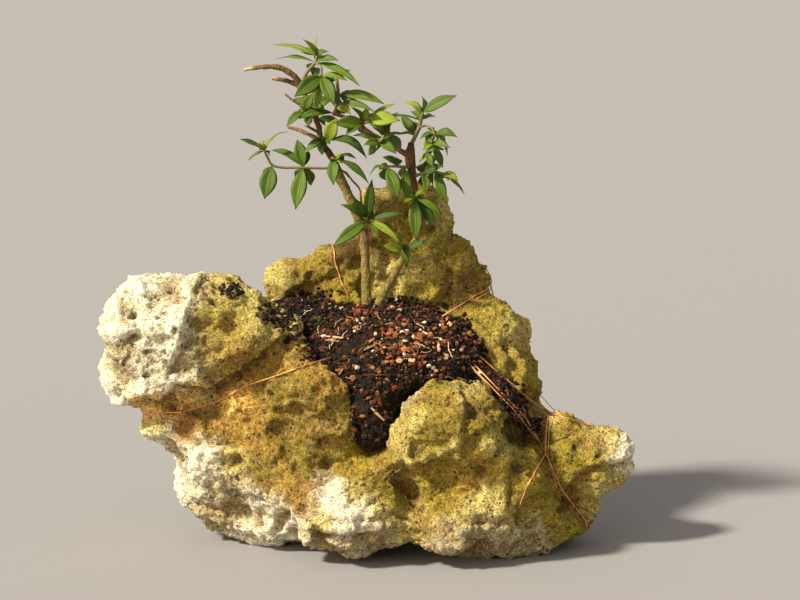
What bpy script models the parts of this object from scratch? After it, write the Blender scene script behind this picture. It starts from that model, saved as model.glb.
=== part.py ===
"""A bonsai on a rock: a young shrub with two stems stands in a pocket of soil on top of a porous
limestone rock, tied down with thin copper wire.

Sizes are in millimetres. The layout was drawn on a front view that looks down a little, so place()
takes a point's across and up as that view shows them, and its depth: back is negative towards the front.
The origin is on the ground, under the middle of the rock.
"""

import math
from collections import namedtuple

import bmesh
import bpy
from mathutils import Matrix, Vector, noise
from mathutils.bvhtree import BVHTree

MM = 0.001
GAP = 0.35

SIGHT_TILT = math.radians(9)
SIGHT_DISTANCE = 1400
SIGHT_CENTRE = (21.4, 151.8)

ROCK_VOXEL = 4.0
ROCK_FACES = 3800
SOIL_VOXEL = 3.4
SOIL_FACES = 1200
BASE_BLOCK = 60

BLADE_THICKNESS = 0.7
STALK_WIDTH = 1.0
WIRE_RADIUS = 0.45
WIRE_BENDS = 4
WOOD_ROUNDING = 2
TWIG_ROUNDING = 1

# A ball of rock or soil: its middle (across, up, back), its half sizes, and two turns in degrees:
# lean lowers its right end, and tip raises its back.
Lump = namedtuple("Lump", "middle half_sizes lean tip", defaults=(0, 0))

HEAD_LUMPS = [
    Lump((-141, 130, -5), (28, 38, 38)),
    Lump((-118, 138, 0), (36, 44, 31)),
    Lump((-92, 138, 4), (34, 42, 28), lean=-6),
    Lump((-64, 134, 2), (30, 40, 15), lean=24),
    Lump((-82, 126, -12), (30, 32, 14), lean=-22),
    Lump((-148, 103, -4), (18, 28, 19)),
    Lump((-122, 106, -10), (28, 34, 15), lean=-10),
    Lump((-138, 158, 0), (14, 22, 14)),
    Lump((-105, 158, 2), (18, 26, 11)),
]
BODY_LUMPS = [
    Lump((-110, 76, 6), (38, 33, 20)),
    Lump((-76, 100, 8), (44, 34, 24), lean=-15),
    Lump((-60, 84, 0), (40, 32, 30)),
    Lump((-38, 102, -26), (25, 20, 17), lean=8),
    Lump((-43, 113, -20), (15, 17, 13), lean=10),
    Lump((-22, 96, -30), (11, 14, 12)),
    Lump((-22, 80, -12), (30, 38, 28)),
    Lump((-88, 60, 4), (36, 40, 32)),
    Lump((-80, 32, 10), (35, 38, 28)),
    Lump((-50, 50, -4), (38, 44, 36)),
    Lump((-55, 18, 8), (36, 40, 20)),
    Lump((0, 60, 10), (70, 48, 52)),
    Lump((10, 30, 30), (85, 50, 40)),
]
FRONT_LUMPS = [
    Lump((-8, 15, -45), (36, 30, 25)),
    Lump((-28, 22, -42), (24, 26, 21)),
    Lump((2, 34, -42), (20, 24, 14)),
    Lump((50, 70, -40), (34, 34, 29)),
    Lump((37, 78, -40), (17, 26, 20)),
    Lump((64, 80, -34), (22, 28, 20)),
    Lump((33, 83, -40), (11, 22, 13)),
    Lump((66, 87, -32), (17, 24, 12)),
    Lump((60, 12, -40), (40, 34, 18)),
    Lump((58, 40, -30), (38, 26, 24)),
    Lump((22, 60, -44), (12, 18, 13)),
    Lump((24, 52, -48), (15, 16, 9), lean=8),
    Lump((42, 55, -56), (16, 15, 8), lean=-20),
    Lump((89, 42, -46), (6, 14, 17)),
    Lump((86, 34, -28), (24, 34, 30)),
    Lump((100, 20, -10), (38, 42, 24)),
    Lump((75, 8, 0), (48, 50, 18)),
]
RIGHT_LUMPS = [
    Lump((143, 50, -5), (27, 26, 22)),
    Lump((125, 46, 0), (26, 30, 24)),
    Lump((118, 62, 6), (22, 26, 18)),
    Lump((124, 20, 0), (22, 26, 18)),
]
WALL_LUMPS = [
    Lump((-42, 158, 60), (24, 24, 21)),
    Lump((-53, 160, 60), (13, 20, 15)),
    Lump((-17, 163, 62), (23, 26, 28)),
    Lump((16, 184, 66), (24, 28, 36)),
    Lump((11, 206, 66), (17, 22, 19)),
    Lump((6, 214, 66), (11, 16, 10)),
    Lump((36, 203, 66), (21, 24, 24)),
    Lump((26, 215, 66), (14, 18, 13)),
    Lump((42, 211, 66), (14, 18, 14)),
    Lump((44, 160, 64), (33, 32, 38)),
    Lump((73, 122, 50), (32, 38, 34)),
    Lump((84, 92, 32), (25, 42, 38)),
    Lump((0, 100, 52), (78, 46, 58)),
]
ROCK_HOLLOWS = [
    Lump((-84, 101, -50), (44, 34, 8), lean=-22),
    Lump((-126, 84, -44), (20, 24, 6), lean=-14),
    Lump((-151, 78, -6), (13, 56, 8)),
    Lump((28, 28, -82), (5, 18, 14), lean=-10),
    Lump((-49, 8, -42), (5, 20, 18), lean=12),
    Lump((56, 38, -74), (31, 26, 13), lean=-12),
    Lump((-12, 46, -58), (24, 16, 4), lean=4),
    Lump((-93, 140, -55), (17, 16, 13)),
    Lump((-173, 117, -8), (10, 40, 5)),
    Lump((99, 50, -58), (6, 22, 12), lean=-8),
    Lump((128, 25, -34), (14, 18, 6), lean=14),
]
POCKET_AIR = [
    Lump((8, 172, -4), (70, 50, 38), tip=17),
]
SOIL_LUMPS = [
    Lump((10, 122, 6), (58, 48, 20), tip=17),
    Lump((38, 118, 8), (36, 44, 20), tip=17),
    Lump((-40, 137, 26), (34, 26, 15), tip=12),
    Lump((5, 90, -30), (18, 13, 26)),
    Lump((4, 74, -35), (15, 12, 20)),
    Lump((91, 87, -14), (7, 12, 28), lean=-35),
]

# The stems as (across, up, back, radius) from the buried foot upwards.
MAIN_STEM = [
    (0.5, 131, 33, 3.6),
    (0.6, 144, 33, 3.5),
    (0, 160, 33.5, 3.0),
    (-0.6, 180, 34.5, 2.7),
    (-1, 188, 35, 3.1),
    (-1.2, 194, 35, 2.7),
    (-3, 199, 34, 2.8),
    (-6, 206, 33, 3.0),
    (-9, 213, 32, 3.2),
    (-12.5, 221, 31, 2.9),
    (-16.4, 228.5, 30, 3.1),
    (-18.5, 235, 29.5, 2.5),
    (-21, 241, 29, 2.3),
    (-25.5, 247.5, 28, 2.0),
    (-28.5, 252, 27.5, 1.9),
    (-29.5, 259, 27, 1.9),
    (-31.5, 266, 27, 1.8),
    (-35, 274.7, 26.5, 1.7),
    (-39, 282, 26, 1.7),
    (-41, 287.5, 25.5, 1.8),
]
LONG_STUB = [
    (-40.5, 286.5, 25.5, 1.7),
    (-44, 291.5, 25, 1.9),
    (-48.5, 295.3, 24, 1.9),
    (-53, 297.8, 23, 1.9),
    (-58, 298.8, 22, 1.7),
    (-66, 298.6, 21, 1.4),
    (-77, 296.8, 20, 1.1),
]
SHORT_STUB = [
    (-40, 285.5, 25.5, 1.6),
    (-45, 288, 27, 1.6),
    (-50.5, 290, 28.5, 1.5),
    (-59, 291.6, 31, 1.2),
]
PINK_TWIG = [
    (-34.5, 273.5, 26.5, 0.9),
    (-41.5, 275, 24, 0.8),
    (-46.5, 277.8, 22, 0.8),
    (-51, 281.5, 20, 0.7),
]
LEFT_SPUR = [
    (-28.3, 251.5, 27.5, 1.3),
    (-33, 254.5, 30, 1.3),
    (-38, 257, 32, 1.3),
    (-43, 259.2, 34, 1.2),
    (-49, 260.5, 36, 1.0),
]
HANGING_TWIG = [
    (-17, 233.5, 29.5, 0.9),
    (-13, 232, 26, 0.8),
    (-9, 227.5, 24, 0.7),
    (-4, 221.5, 23, 0.7),
    (-3, 214, 23, 0.7),
    (-1.2, 207.5, 24, 0.6),
]
RIGHT_STEM = [
    (8, 134, 30, 3.4),
    (8, 147, 30, 3.2),
    (10, 153.7, 29.5, 2.9),
    (12.5, 159, 29, 2.8),
    (15.5, 164, 28.5, 2.6),
    (19.5, 171, 27.5, 2.3),
    (23.3, 178, 26.5, 2.1),
    (27.2, 183.5, 26, 2.0),
    (30.7, 189.5, 25.5, 2.0),
    (33.5, 195, 25, 2.1),
    (35.5, 201, 24.5, 2.2),
    (35.8, 207, 24.5, 2.2),
    (34, 213, 24.5, 2.1),
    (31.5, 219, 24.5, 2.1),
    (29.8, 226, 24.5, 2.2),
    (29, 232, 24.5, 2.6),
    (28, 239, 24.5, 3.1),
    (27.8, 245, 24.5, 2.9),
    (28.3, 250.5, 24.5, 2.0),
]
LONG_BRANCH = [
    (27.5, 242, 24.5, 1.8),
    (22, 245.5, 23.5, 1.7),
    (17.6, 248, 22.5, 1.6),
    (12, 251.5, 22, 1.5),
    (5.7, 255, 21.5, 1.5),
    (1, 258, 21, 1.5),
    (-4, 261.5, 20.5, 1.7),
    (-10, 265.3, 20, 1.4),
    (-15, 267.5, 20, 1.3),
    (-20.8, 269.8, 20, 1.3),
]

# A leaf: the number of the twig point it grows from, the place of its tip (across, up, back), its width,
# face in degrees (0 shows its broad side to the front, 90 turns it up to the sky), and how far it arches.
Leaf = namedtuple("Leaf", "at tip width face arch", defaults=(8, 30, 2))

# A leafy shoot: the stem it grows from, its twigs as lists of (across, up, back, radius), and its leaves.
# Twig points are numbered on from one twig to the next.
Spray = namedtuple("Spray", "name stem twigs leaves")

SPRAYS = [
    Spray(
        "spray_top",
        "trunk_main",
        [
            [
                (-40.5, 287, 25.5, 1.2),
                (-38, 294, 24.5, 1.1),
                (-35, 298, 24, 1.1),
                (-32, 301.5, 24, 1.0),
                (-31, 305.5, 24, 0.8),
            ],
            [(-32, 301.5, 24, 0.8), (-28.5, 299, 21, 0.8), (-28, 293, 18, 0.8)],
        ],
        [
            Leaf(4, (-59, 312.5, 37), 6, 62),
            Leaf(4, (-40, 316, 18), 4, 40),
            Leaf(4, (-30, 317, 28), 3, 50),
            Leaf(4, (-24, 308.5, 18), 4, 40),
            Leaf(3, (-57, 304, 41), 5, 66),
            Leaf(5, (-17.5, 303, 14), 6, 50),
            Leaf(5, (-4, 287, 4), 7, 48, 3),
            Leaf(7, (-45, 280, 4), 10.5, 5),
            Leaf(7, (-20, 274.5, 4), 9, 12),
            Leaf(2, (-31, 292, 52), 8, 30),
            Leaf(3, (-24, 304, 52), 7, 50),
            Leaf(7, (-12, 290, 8), 6, 50),
            Leaf(7, (-31, 272, 10), 7, 20),
        ],
    ),
    Spray(
        "spray_upper_left",
        "trunk_main",
        [[(-34, 272.5, 26.5, 1.0), (-36.5, 272, 22.5, 0.9), (-38.5, 271, 19, 0.8)]],
        [
            Leaf(2, (-33, 282.5, 15), 6.5, 15),
            Leaf(2, (-50, 260.5, 9), 6, 35),
            Leaf(1, (-25, 270.5, 11), 6, 55, 3),
            Leaf(2, (-46.5, 264.5, 26), 4, 60),
        ],
    ),
    Spray(
        "spray_bend",
        "trunk_main",
        [[(-28, 250.5, 27.5, 1.0), (-25.5, 251, 23, 0.9), (-24, 251.5, 19, 0.8)]],
        [
            Leaf(2, (-18.5, 266.5, 13), 9, 12),
            Leaf(2, (0.5, 240.5, 11), 8, 45, 8),
            Leaf(1, (-39.5, 243.5, 19), 6, 50),
            Leaf(1, (-39.5, 261.5, 15), 4, 60),
        ],
    ),
    Spray(
        "spray_elbow",
        "trunk_main",
        [[(-21, 241.5, 29, 1.0), (-19.5, 241.2, 25, 0.8), (-18.6, 240.5, 21, 0.8)]],
        [
            Leaf(2, (-6, 241, 17), 5, 62, 2.5),
            Leaf(2, (1.5, 225, 10), 6.5, 48, 3),
            Leaf(1, (-20.5, 224, 14), 8, 15, 2.5),
        ],
    ),
    Spray(
        "spray_left",
        "trunk_main",
        [
            [
                (-19.5, 235.2, 29.5, 0.9),
                (-29, 234.8, 28, 0.8),
                (-39.5, 235.2, 26, 0.8),
                (-52, 235.2, 25, 0.8),
                (-59, 236.8, 24, 0.8),
                (-62, 241.5, 23.5, 0.8),
                (-64, 246, 23, 0.8),
            ]
        ],
        [
            Leaf(6, (-80, 253, 19), 6, 60, 1),
            Leaf(6, (-74.5, 239.5, 33), 3, 50, 1),
            Leaf(6, (-67, 251, 22), 2.5, 20, 0.5),
            Leaf(6, (-63, 253, 26), 2.5, 20, 0.5),
            Leaf(6, (-49.5, 258.5, 29), 3, 60, 3),
            Leaf(4, (-64, 215.5, 18), 11, 5, 1),
            Leaf(2, (-44.5, 209, 18), 10, 10, 1),
            Leaf(2, (-43.5, 253, 31), 8.5, 10, 1),
            Leaf(2, (-60, 246.5, 37), 6, 40, 4),
            Leaf(2, (-34, 224, 36), 7, 30, 2),
        ],
    ),
    Spray(
        "spray_waist",
        "trunk_main",
        [[(-1.5, 199, 34.5, 1.2), (0, 200.5, 29, 1.1), (1, 201.5, 25, 1.0)]],
        [
            Leaf(2, (3.8, 228, 17), 7, 12, 1),
            Leaf(2, (-21, 185.5, 14), 8, 12),
            Leaf(2, (25, 206.5, 18), 5, 35),
            Leaf(2, (21.5, 187.5, 10), 6, 40, 3),
            Leaf(2, (-16.5, 212, 17), 6, 35, 3),
            Leaf(2, (8, 190.5, 18), 4, 30),
        ],
    ),
    Spray(
        "spray_back_left",
        "trunk_main",
        [[(-30, 261, 27, 1.1), (-31, 266, 36, 1.0), (-33, 270, 47, 0.9)]],
        [
            Leaf(2, (-47, 279, 62), 8, 40),
            Leaf(2, (-19, 281, 60), 8, 40),
            Leaf(2, (-37, 262, 67), 7, 30),
            Leaf(1, (-49, 267, 46), 7, 45),
            Leaf(1, (-14, 261, 46), 7, 45),
        ],
    ),
    Spray(
        "spray_branch_tip",
        "trunk_right",
        [
            [
                (-20, 269.5, 20, 1.1),
                (-18.2, 275, 20.5, 1.1),
                (-17.4, 281, 21, 1.1),
                (-18.4, 290.5, 21.5, 1.0),
            ]
        ],
        [
            Leaf(3, (-9.5, 296, 33), 5, 50),
            Leaf(3, (-30.5, 288, 33), 5, 65),
            Leaf(2, (11.5, 275.5, 8), 8, 42, 3),
            Leaf(1, (-9.5, 268.8, 9), 7, 20, 2),
            Leaf(2, (-6, 278, 36), 7, 40),
            Leaf(1, (5, 271, 4), 6, 45, 3),
        ],
    ),
    Spray(
        "spray_branch_mid",
        "trunk_right",
        [[(-3.5, 261.3, 20.5, 1.2), (-1, 263.5, 17, 1.1), (1.5, 264, 14, 1.0)]],
        [
            Leaf(1, (-20.5, 263.5, 6), 8.5, 8, 1),
            Leaf(1, (1, 273.5, 16), 5, 15, 1),
            Leaf(2, (21.5, 265, 7), 10, 25, 3),
            Leaf(2, (18.5, 275.5, 20), 5, 50, 2),
            Leaf(2, (35.5, 264.5, 18), 4, 60, 4),
            Leaf(1, (-9.5, 273.5, 14), 4, 40),
            Leaf(1, (-13, 255, 8), 6, 35),
        ],
    ),
    Spray(
        "spray_branch_low",
        "trunk_right",
        [[(8, 253.8, 21.7, 1.1), (8, 252, 17.5, 1.0), (8.5, 251, 14, 0.9)]],
        [
            Leaf(2, (-1.5, 249.5, 6), 6, 25),
            Leaf(2, (19, 243.5, 7), 7, 30),
            Leaf(2, (24, 256.5, 11), 4, 50, 3),
            Leaf(1, (-8.5, 255.5, 24), 5, 45),
        ],
    ),
    Spray(
        "spray_branch_back",
        "trunk_right",
        [[(13.5, 250.5, 22.2, 1.1), (13, 253, 26.5, 1.0), (12, 255, 30.5, 0.9)]],
        [
            Leaf(2, (0, 268, 41), 8, 30),
            Leaf(2, (20, 271, 47), 7, 45),
            Leaf(2, (22, 247, 49), 8, 30),
            Leaf(1, (1, 243, 37), 7, 30),
        ],
    ),
    Spray(
        "spray_crown_right",
        "trunk_right",
        [
            [
                (28.4, 249.5, 24.5, 1.3),
                (31, 255, 24, 1.3),
                (33.3, 260, 23.5, 1.3),
                (34.5, 265, 23, 1.2),
                (35.3, 269.5, 22.5, 1.1),
            ],
            [
                (33.3, 260, 23.5, 0.7),
                (37, 261.6, 20, 0.7),
                (41, 260.3, 17, 0.7),
                (43, 256, 15, 0.8),
                (41, 250.5, 14, 0.8),
                (38, 245, 14, 0.8),
            ],
        ],
        [
            Leaf(4, (57, 280.8, 16), 8, 30, 1.5),
            Leaf(4, (24.5, 276.5, 25), 6, 45),
            Leaf(3, (44, 267, 37), 4, 50),
            Leaf(1, (22, 268.5, 33), 6.5, 20, 1),
            Leaf(8, (57.5, 254.5, 7), 6.5, 40, 3),
            Leaf(8, (51.5, 242.5, 9), 4, 60, 2.5),
            Leaf(8, (34, 253.5, 8), 4, 50, 2),
            Leaf(10, (50, 246.3, 11), 6, 62, 1),
            Leaf(10, (41.5, 235.5, 7), 5, 15, 1),
            Leaf(9, (48.5, 235, 18), 5, 15, 2),
            Leaf(3, (29, 271, 50), 7, 35),
            Leaf(9, (36, 246, 4), 6, 20),
            Leaf(9, (53, 248, 2), 5, 30),
        ],
    ),
    Spray(
        "spray_right_flank",
        "trunk_right",
        [[(29.2, 229.5, 24.5, 1.2), (36, 231.5, 22, 1.0), (43, 232.5, 19, 0.9), (48, 231.5, 17, 0.8)]],
        [
            Leaf(1, (48.5, 236.5, 8), 7, 25, 1.5),
            Leaf(1, (46, 243, 42), 7, 40),
            Leaf(3, (58, 227, 7), 6, 40, 1.5),
            Leaf(3, (62.5, 218.5, 18), 4, 55, 1.5),
            Leaf(2, (50.5, 213.5, 12), 6.5, 15, 1),
            Leaf(1, (37.5, 219, 5), 6, 30),
            Leaf(3, (45.5, 221, 20), 5, 15),
        ],
    ),
    Spray(
        "spray_right_low",
        "trunk_right",
        [[(31.8, 218, 24.5, 1.2), (31, 217, 20, 1.1), (30.5, 216, 16, 1.0)]],
        [
            Leaf(2, (31.5, 190, 9), 9.5, 10, 1),
            Leaf(2, (48.5, 201, 6), 6.5, 45, 4),
            Leaf(1, (43.5, 197.5, 14), 7.5, 20, 1),
            Leaf(2, (24, 213.5, 5), 3.5, 40, 1),
        ],
    ),
    Spray(
        "spray_inner",
        "trunk_right",
        [[(28.3, 236.5, 24.5, 1.3), (24.5, 235.5, 20, 1.1), (19.5, 236, 17, 0.9), (13.5, 236, 15, 0.8)]],
        [
            Leaf(3, (20.5, 215.5, 7), 9, 10, 1.5),
            Leaf(1, (25.5, 214.5, 12), 7, 12, 1),
            Leaf(3, (2.5, 230, 14), 3.5, 60, 3),
            Leaf(2, (10.5, 242, 7), 6, 45, 2),
        ],
    ),
    Spray(
        "spray_foot",
        "trunk_right",
        [[(25, 181, 26.3, 1.1), (24, 182, 22, 0.9), (22.5, 182.5, 18.5, 0.8)]],
        [
            Leaf(2, (10.5, 186, 12), 6, 25, 1),
            Leaf(1, (39.5, 188.5, 11), 6, 40, 2),
            Leaf(2, (25.5, 173.5, 14), 5, 25, 1),
        ],
    ),
]

# Each wire's route. A point with two numbers is where the front view shows the wire on what it lies
# on, and a point with three gives its depth too and is moved to the nearest surface.
WIRE_ROUTES = {
    "wire_left": [
        (-20, 116),
        (-37, 111),
        (-54, 105),
        (-72, 98),
        (-95, 87),
        (-120, 79),
        (-139, 81, 6),
        (-139, 80, 24),
        (-130, 82, 44),
        (-90, 100, 70),
        (-55, 140, 90),
        (-32, 172, 90),
        (-24, 186, 66),
        (-20, 177),
        (-15.5, 163),
        (-10.5, 154),
    ],
    "wire_right_high": [
        (48, 141),
        (62, 150),
        (76, 159, 52),
        (83, 164, 66),
        (95, 130, 92),
        (110, 95, 78),
        (128, 74, 36),
        (141, 72),
        (130, 76),
        (111, 82),
        (95, 96),
        (69, 118),
    ],
    "wire_right_low": [
        (68, 111),
        (86, 94),
        (100, 78),
        (110, 62),
        (116, 49),
        (123, 33),
        (138, 13),
        (140, 10, 25),
        (130, 40, 60),
        (122, 62, 50),
        (118, 78, 20),
        (114, 70),
        (113, 55),
        (108, 46),
        (101, 34),
        (96, 21),
    ],
}

ROCK_COLOUR = (0.56, 0.50, 0.30)
SOIL_COLOUR = (0.07, 0.045, 0.03)
BARK_COLOUR = (0.30, 0.20, 0.11)
LEAF_COLOUR = (0.12, 0.26, 0.03)
COPPER_COLOUR = (0.72, 0.38, 0.20)


def place(across, up, back):
    """The point in space that the front view shows at (across, up), at the depth back."""
    eye, plane_up = front_eye()
    line = Vector((across, 0, 0)) + plane_up * up - eye
    return (eye + line * ((back - eye.y) / line.y)) * MM


def front_eye():
    """Where the front view is seen from, in millimetres, and its upward direction."""
    plane_up = Vector((0, math.sin(SIGHT_TILT), math.cos(SIGHT_TILT)))
    ahead = Vector((0, math.cos(SIGHT_TILT), -math.sin(SIGHT_TILT)))
    eye = Vector((SIGHT_CENTRE[0], 0, 0)) + plane_up * SIGHT_CENTRE[1] - ahead * SIGHT_DISTANCE
    return eye, plane_up


def clear_scene():
    for obj in list(bpy.data.objects):
        bpy.data.objects.remove(obj)


def new_collection(name):
    collection = bpy.data.collections.new(name)
    bpy.context.scene.collection.children.link(collection)
    return collection


def new_object(name, mesh, collection):
    obj = bpy.data.objects.new(name, mesh)
    collection.objects.link(obj)
    return obj


def hide_as_cutter(obj):
    obj.hide_render = True
    obj.display_type = "WIRE"


def settle(obj):
    """Replace an object's mesh by what its modifiers make of it."""
    graph = bpy.context.evaluated_depsgraph_get()
    mesh = bpy.data.meshes.new_from_object(obj.evaluated_get(graph))
    old = obj.data
    obj.modifiers.clear()
    obj.data = mesh
    bpy.data.meshes.remove(old)


def remesh(obj, voxel):
    modifier = obj.modifiers.new("Remesh", "REMESH")
    modifier.mode = "VOXEL"
    modifier.voxel_size = voxel * MM
    settle(obj)


def smooth(obj, rounds):
    modifier = obj.modifiers.new("Smooth", "SMOOTH")
    modifier.factor = 0.5
    modifier.iterations = rounds
    settle(obj)


def decimate(obj, faces):
    modifier = obj.modifiers.new("Decimate", "DECIMATE")
    triangles = sum(len(face.vertices) - 2 for face in obj.data.polygons)
    modifier.ratio = min(1, faces / triangles)
    obj.modifiers.new("Triangulate", "TRIANGULATE")
    settle(obj)


def cut(obj, cutter):
    modifier = obj.modifiers.new("Cut", "BOOLEAN")
    modifier.operation = "DIFFERENCE"
    modifier.solver = "MANIFOLD"
    modifier.object = cutter
    obj.modifiers.new("Triangulate", "TRIANGULATE")
    settle(obj)


def join_all(obj, collection):
    """Fuse an object with everything in a collection, which is then removed."""
    modifier = obj.modifiers.new("Join", "BOOLEAN")
    modifier.operation = "UNION"
    modifier.operand_type = "COLLECTION"
    modifier.solver = "MANIFOLD"
    modifier.collection = collection
    settle(obj)
    for piece in list(collection.objects):
        bpy.data.objects.remove(piece)
    bpy.data.collections.remove(collection)


def roughen(obj, height):
    """Move each point along its normal by height(point, normal), all in millimetres."""
    vertices = obj.data.vertices
    moves = [v.normal * height(v.co / MM, v.normal) * MM for v in vertices]
    for vertex, move in zip(vertices, moves):
        vertex.co += move


def lump_object(name, lumps, collection):
    """Overlapping balls of rock or soil, still loose from each other."""
    bm = bmesh.new()
    for lump in lumps:
        leaned = Matrix.Rotation(math.radians(lump.lean), 4, "Y")
        tipped = Matrix.Rotation(math.radians(lump.tip), 4, "X")
        sized = Matrix.Diagonal((*(size * MM for size in lump.half_sizes), 1))
        matrix = Matrix.Translation(place(*lump.middle)) @ leaned @ tipped @ sized
        bmesh.ops.create_icosphere(bm, subdivisions=3, radius=1, matrix=matrix)
    mesh = bpy.data.meshes.new(name)
    bm.to_mesh(mesh)
    bm.free()
    return new_object(name, mesh, collection)


def block(name, size, middle, collection):
    bm = bmesh.new()
    matrix = Matrix.Translation(middle) @ Matrix.Diagonal((*size, 1))
    bmesh.ops.create_cube(bm, size=1, matrix=matrix)
    mesh = bpy.data.meshes.new(name)
    bm.to_mesh(mesh)
    bm.free()
    return new_object(name, mesh, collection)


def tube(name, points, radii, rounding, collection):
    """A closed round bar through points in metres, with a radius in millimetres at each."""
    data = bpy.data.curves.new(name, "CURVE")
    data.dimensions = "3D"
    data.bevel_depth = MM
    data.bevel_resolution = rounding
    data.use_fill_caps = True
    spline = data.splines.new("POLY")
    spline.points.add(len(points) - 1)
    for knot, point, radius in zip(spline.points, points, radii):
        knot.co = (*point, 1)
        knot.radius = radius
    curve = new_object(name + "_curve", data, collection)
    graph = bpy.context.evaluated_depsgraph_get()
    mesh = bpy.data.meshes.new_from_object(curve.evaluated_get(graph))
    bpy.data.objects.remove(curve)
    bm = bmesh.new()
    bm.from_mesh(mesh)
    bmesh.ops.remove_doubles(bm, verts=bm.verts, dist=0.00001)
    bm.to_mesh(mesh)
    bm.free()
    return new_object(name, mesh, collection)


def bar(name, knots, rounding, collection, extra=0):
    """A tube through knots of (across, up, back, radius), made thicker and longer by extra."""
    points = [place(*knot[:3]) for knot in knots]
    points[0] += (points[0] - points[1]).normalized() * extra * MM
    points[-1] += (points[-1] - points[-2]).normalized() * extra * MM
    return tube(name, points, [knot[3] + extra for knot in knots], rounding, collection)


def paint(obj, made):
    obj.data.materials.clear()
    obj.data.materials.append(made)


def material(name, colour, roughness, metallic=0.0):
    made = bpy.data.materials.new(name)
    made.use_nodes = True
    shader = made.node_tree.nodes["Principled BSDF"]
    shader.inputs["Base Color"].default_value = (*colour, 1)
    shader.inputs["Roughness"].default_value = roughness
    shader.inputs["Metallic"].default_value = metallic
    return made


def crag_height(point, normal):
    """Broad swells, knobs and pits of the weathered limestone."""
    swell = noise.fractal(point / 40, 0.7, 2.1, 3) * 4.5
    knobs = noise.ridged_multi_fractal(point / 20, 0.9, 2.1, 3, 1.0, 2.0) * 2.4
    near = noise.voronoi(point / 16)[0][0]
    pit = max(0, 0.42 - near) * 18
    return swell + knobs - pit - 2.5


def crumb_height(point, normal):
    """The lumpy top of the planting mix, which fades out on the hidden underside."""
    shown = min(1, max(0, normal.z - normal.y * 0.8 + 0.1) * 3)
    return noise.fractal(point / 7, 0.6, 2.2, 2) * 2.2 * shown


def make_soil(parts):
    soil = lump_object("soil", SOIL_LUMPS, parts)
    remesh(soil, SOIL_VOXEL)
    smooth(soil, 4)
    roughen(soil, crumb_height)
    decimate(soil, SOIL_FACES)
    smooth(soil, 2)
    return soil


def make_rock(parts, cutters, soil):
    lumps = HEAD_LUMPS + BODY_LUMPS + FRONT_LUMPS + RIGHT_LUMPS + WALL_LUMPS
    rock = lump_object("rock", lumps, parts)
    remesh(rock, ROCK_VOXEL)
    hollows = lump_object("rock_hollows", ROCK_HOLLOWS + POCKET_AIR, cutters)
    remesh(hollows, ROCK_VOXEL)
    cut(rock, hollows)
    remesh(rock, ROCK_VOXEL)
    smooth(rock, 3)
    roughen(rock, crag_height)
    remesh(rock, ROCK_VOXEL)
    decimate(rock, ROCK_FACES)
    bed = new_object("soil_bed", soil.data.copy(), cutters)
    roughen(bed, lambda point, normal: GAP * 1.5)
    cut(rock, bed)
    ground = block("ground", (0.6, 0.6, BASE_BLOCK * MM), (0, 0, -BASE_BLOCK / 2 * MM), cutters)
    cut(rock, ground)
    for cutter in (hollows, bed, ground):
        hide_as_cutter(cutter)
    return rock


def make_stem(name, stem, branches, collection, extra=0):
    """One woody stem with its branches and stubs fused on, all of it thicker by extra."""
    wood = bar(name, stem, WOOD_ROUNDING, collection, extra)
    joined = new_collection(name + "_branches")
    for number, branch in enumerate(branches):
        bar(f"{name}_branch_{number}", branch, TWIG_ROUNDING, joined, extra)
    join_all(wood, joined)
    return wood


def blade_outline(along):
    """Half width of a leaf at a share of its length, as a share of the leaf's half width."""
    return math.sin(math.pi * min(1, along * 1.02) ** 0.85) ** 0.8


def make_leaf(name, base, leaf, collection):
    """A folded, arched blade from its foot at base to its tip."""
    tip = place(*leaf.tip)
    length = (tip - base).length
    axis = (tip - base).normalized()
    eye = front_eye()[0] * MM
    toward = (eye - base).normalized()
    shown = (toward - axis * toward.dot(axis)).normalized()
    sideways = axis.cross(shown)
    upward = sideways if sideways.z > 0 else -sideways
    turn = math.radians(leaf.face)
    normal = shown * math.cos(turn) + upward * math.sin(turn)
    side = axis.cross(normal)
    rows = 4 if length > 20 * MM else 3
    bm = bmesh.new()
    bmesh.ops.create_grid(bm, x_segments=2, y_segments=rows, size=0.5)
    for vert in bm.verts:
        across = vert.co.x * 2
        along = vert.co.y + 0.5
        half = max(STALK_WIDTH / 2, leaf.width / 2 * blade_outline(along)) * MM
        if along > 0.99:
            half = 0.3 * MM
        bulge = leaf.arch * MM * 4 * along * (1 - along)
        fold = abs(across) * half * 0.22
        vert.co = base + axis * length * along + side * across * half + normal * (bulge + fold)
    bmesh.ops.triangulate(bm, faces=bm.faces)
    mesh = bpy.data.meshes.new(name)
    bm.to_mesh(mesh)
    bm.free()
    blade = new_object(name, mesh, collection)
    modifier = blade.modifiers.new("Solidify", "SOLIDIFY")
    modifier.thickness = BLADE_THICKNESS * MM
    modifier.offset = 0
    settle(blade)
    return blade


def make_spray(spray, around_stem, parts):
    """A twig with its leaves fused on, its foot trimmed to stop just short of the stem."""
    points = [point for twig in spray.twigs for point in twig]
    shoot = bar(spray.name, spray.twigs[0], TWIG_ROUNDING, parts)
    joined = new_collection(spray.name + "_leaves")
    for number, twig in enumerate(spray.twigs[1:]):
        bar(f"{spray.name}_twig_{number}", twig, TWIG_ROUNDING, joined)
    for number, leaf in enumerate(spray.leaves):
        make_leaf(f"{spray.name}_leaf_{number}", place(*points[leaf.at][:3]), leaf, joined)
    join_all(shoot, joined)
    cut(shoot, around_stem)
    return shoot


def surface_tree(objects):
    """One search tree over the triangles of several objects."""
    corners = []
    faces = []
    for obj in objects:
        start = len(corners)
        corners += [vertex.co.copy() for vertex in obj.data.vertices]
        faces += [[start + index for index in face.vertices] for face in obj.data.polygons]
    return BVHTree.FromPolygons(corners, faces)


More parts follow.
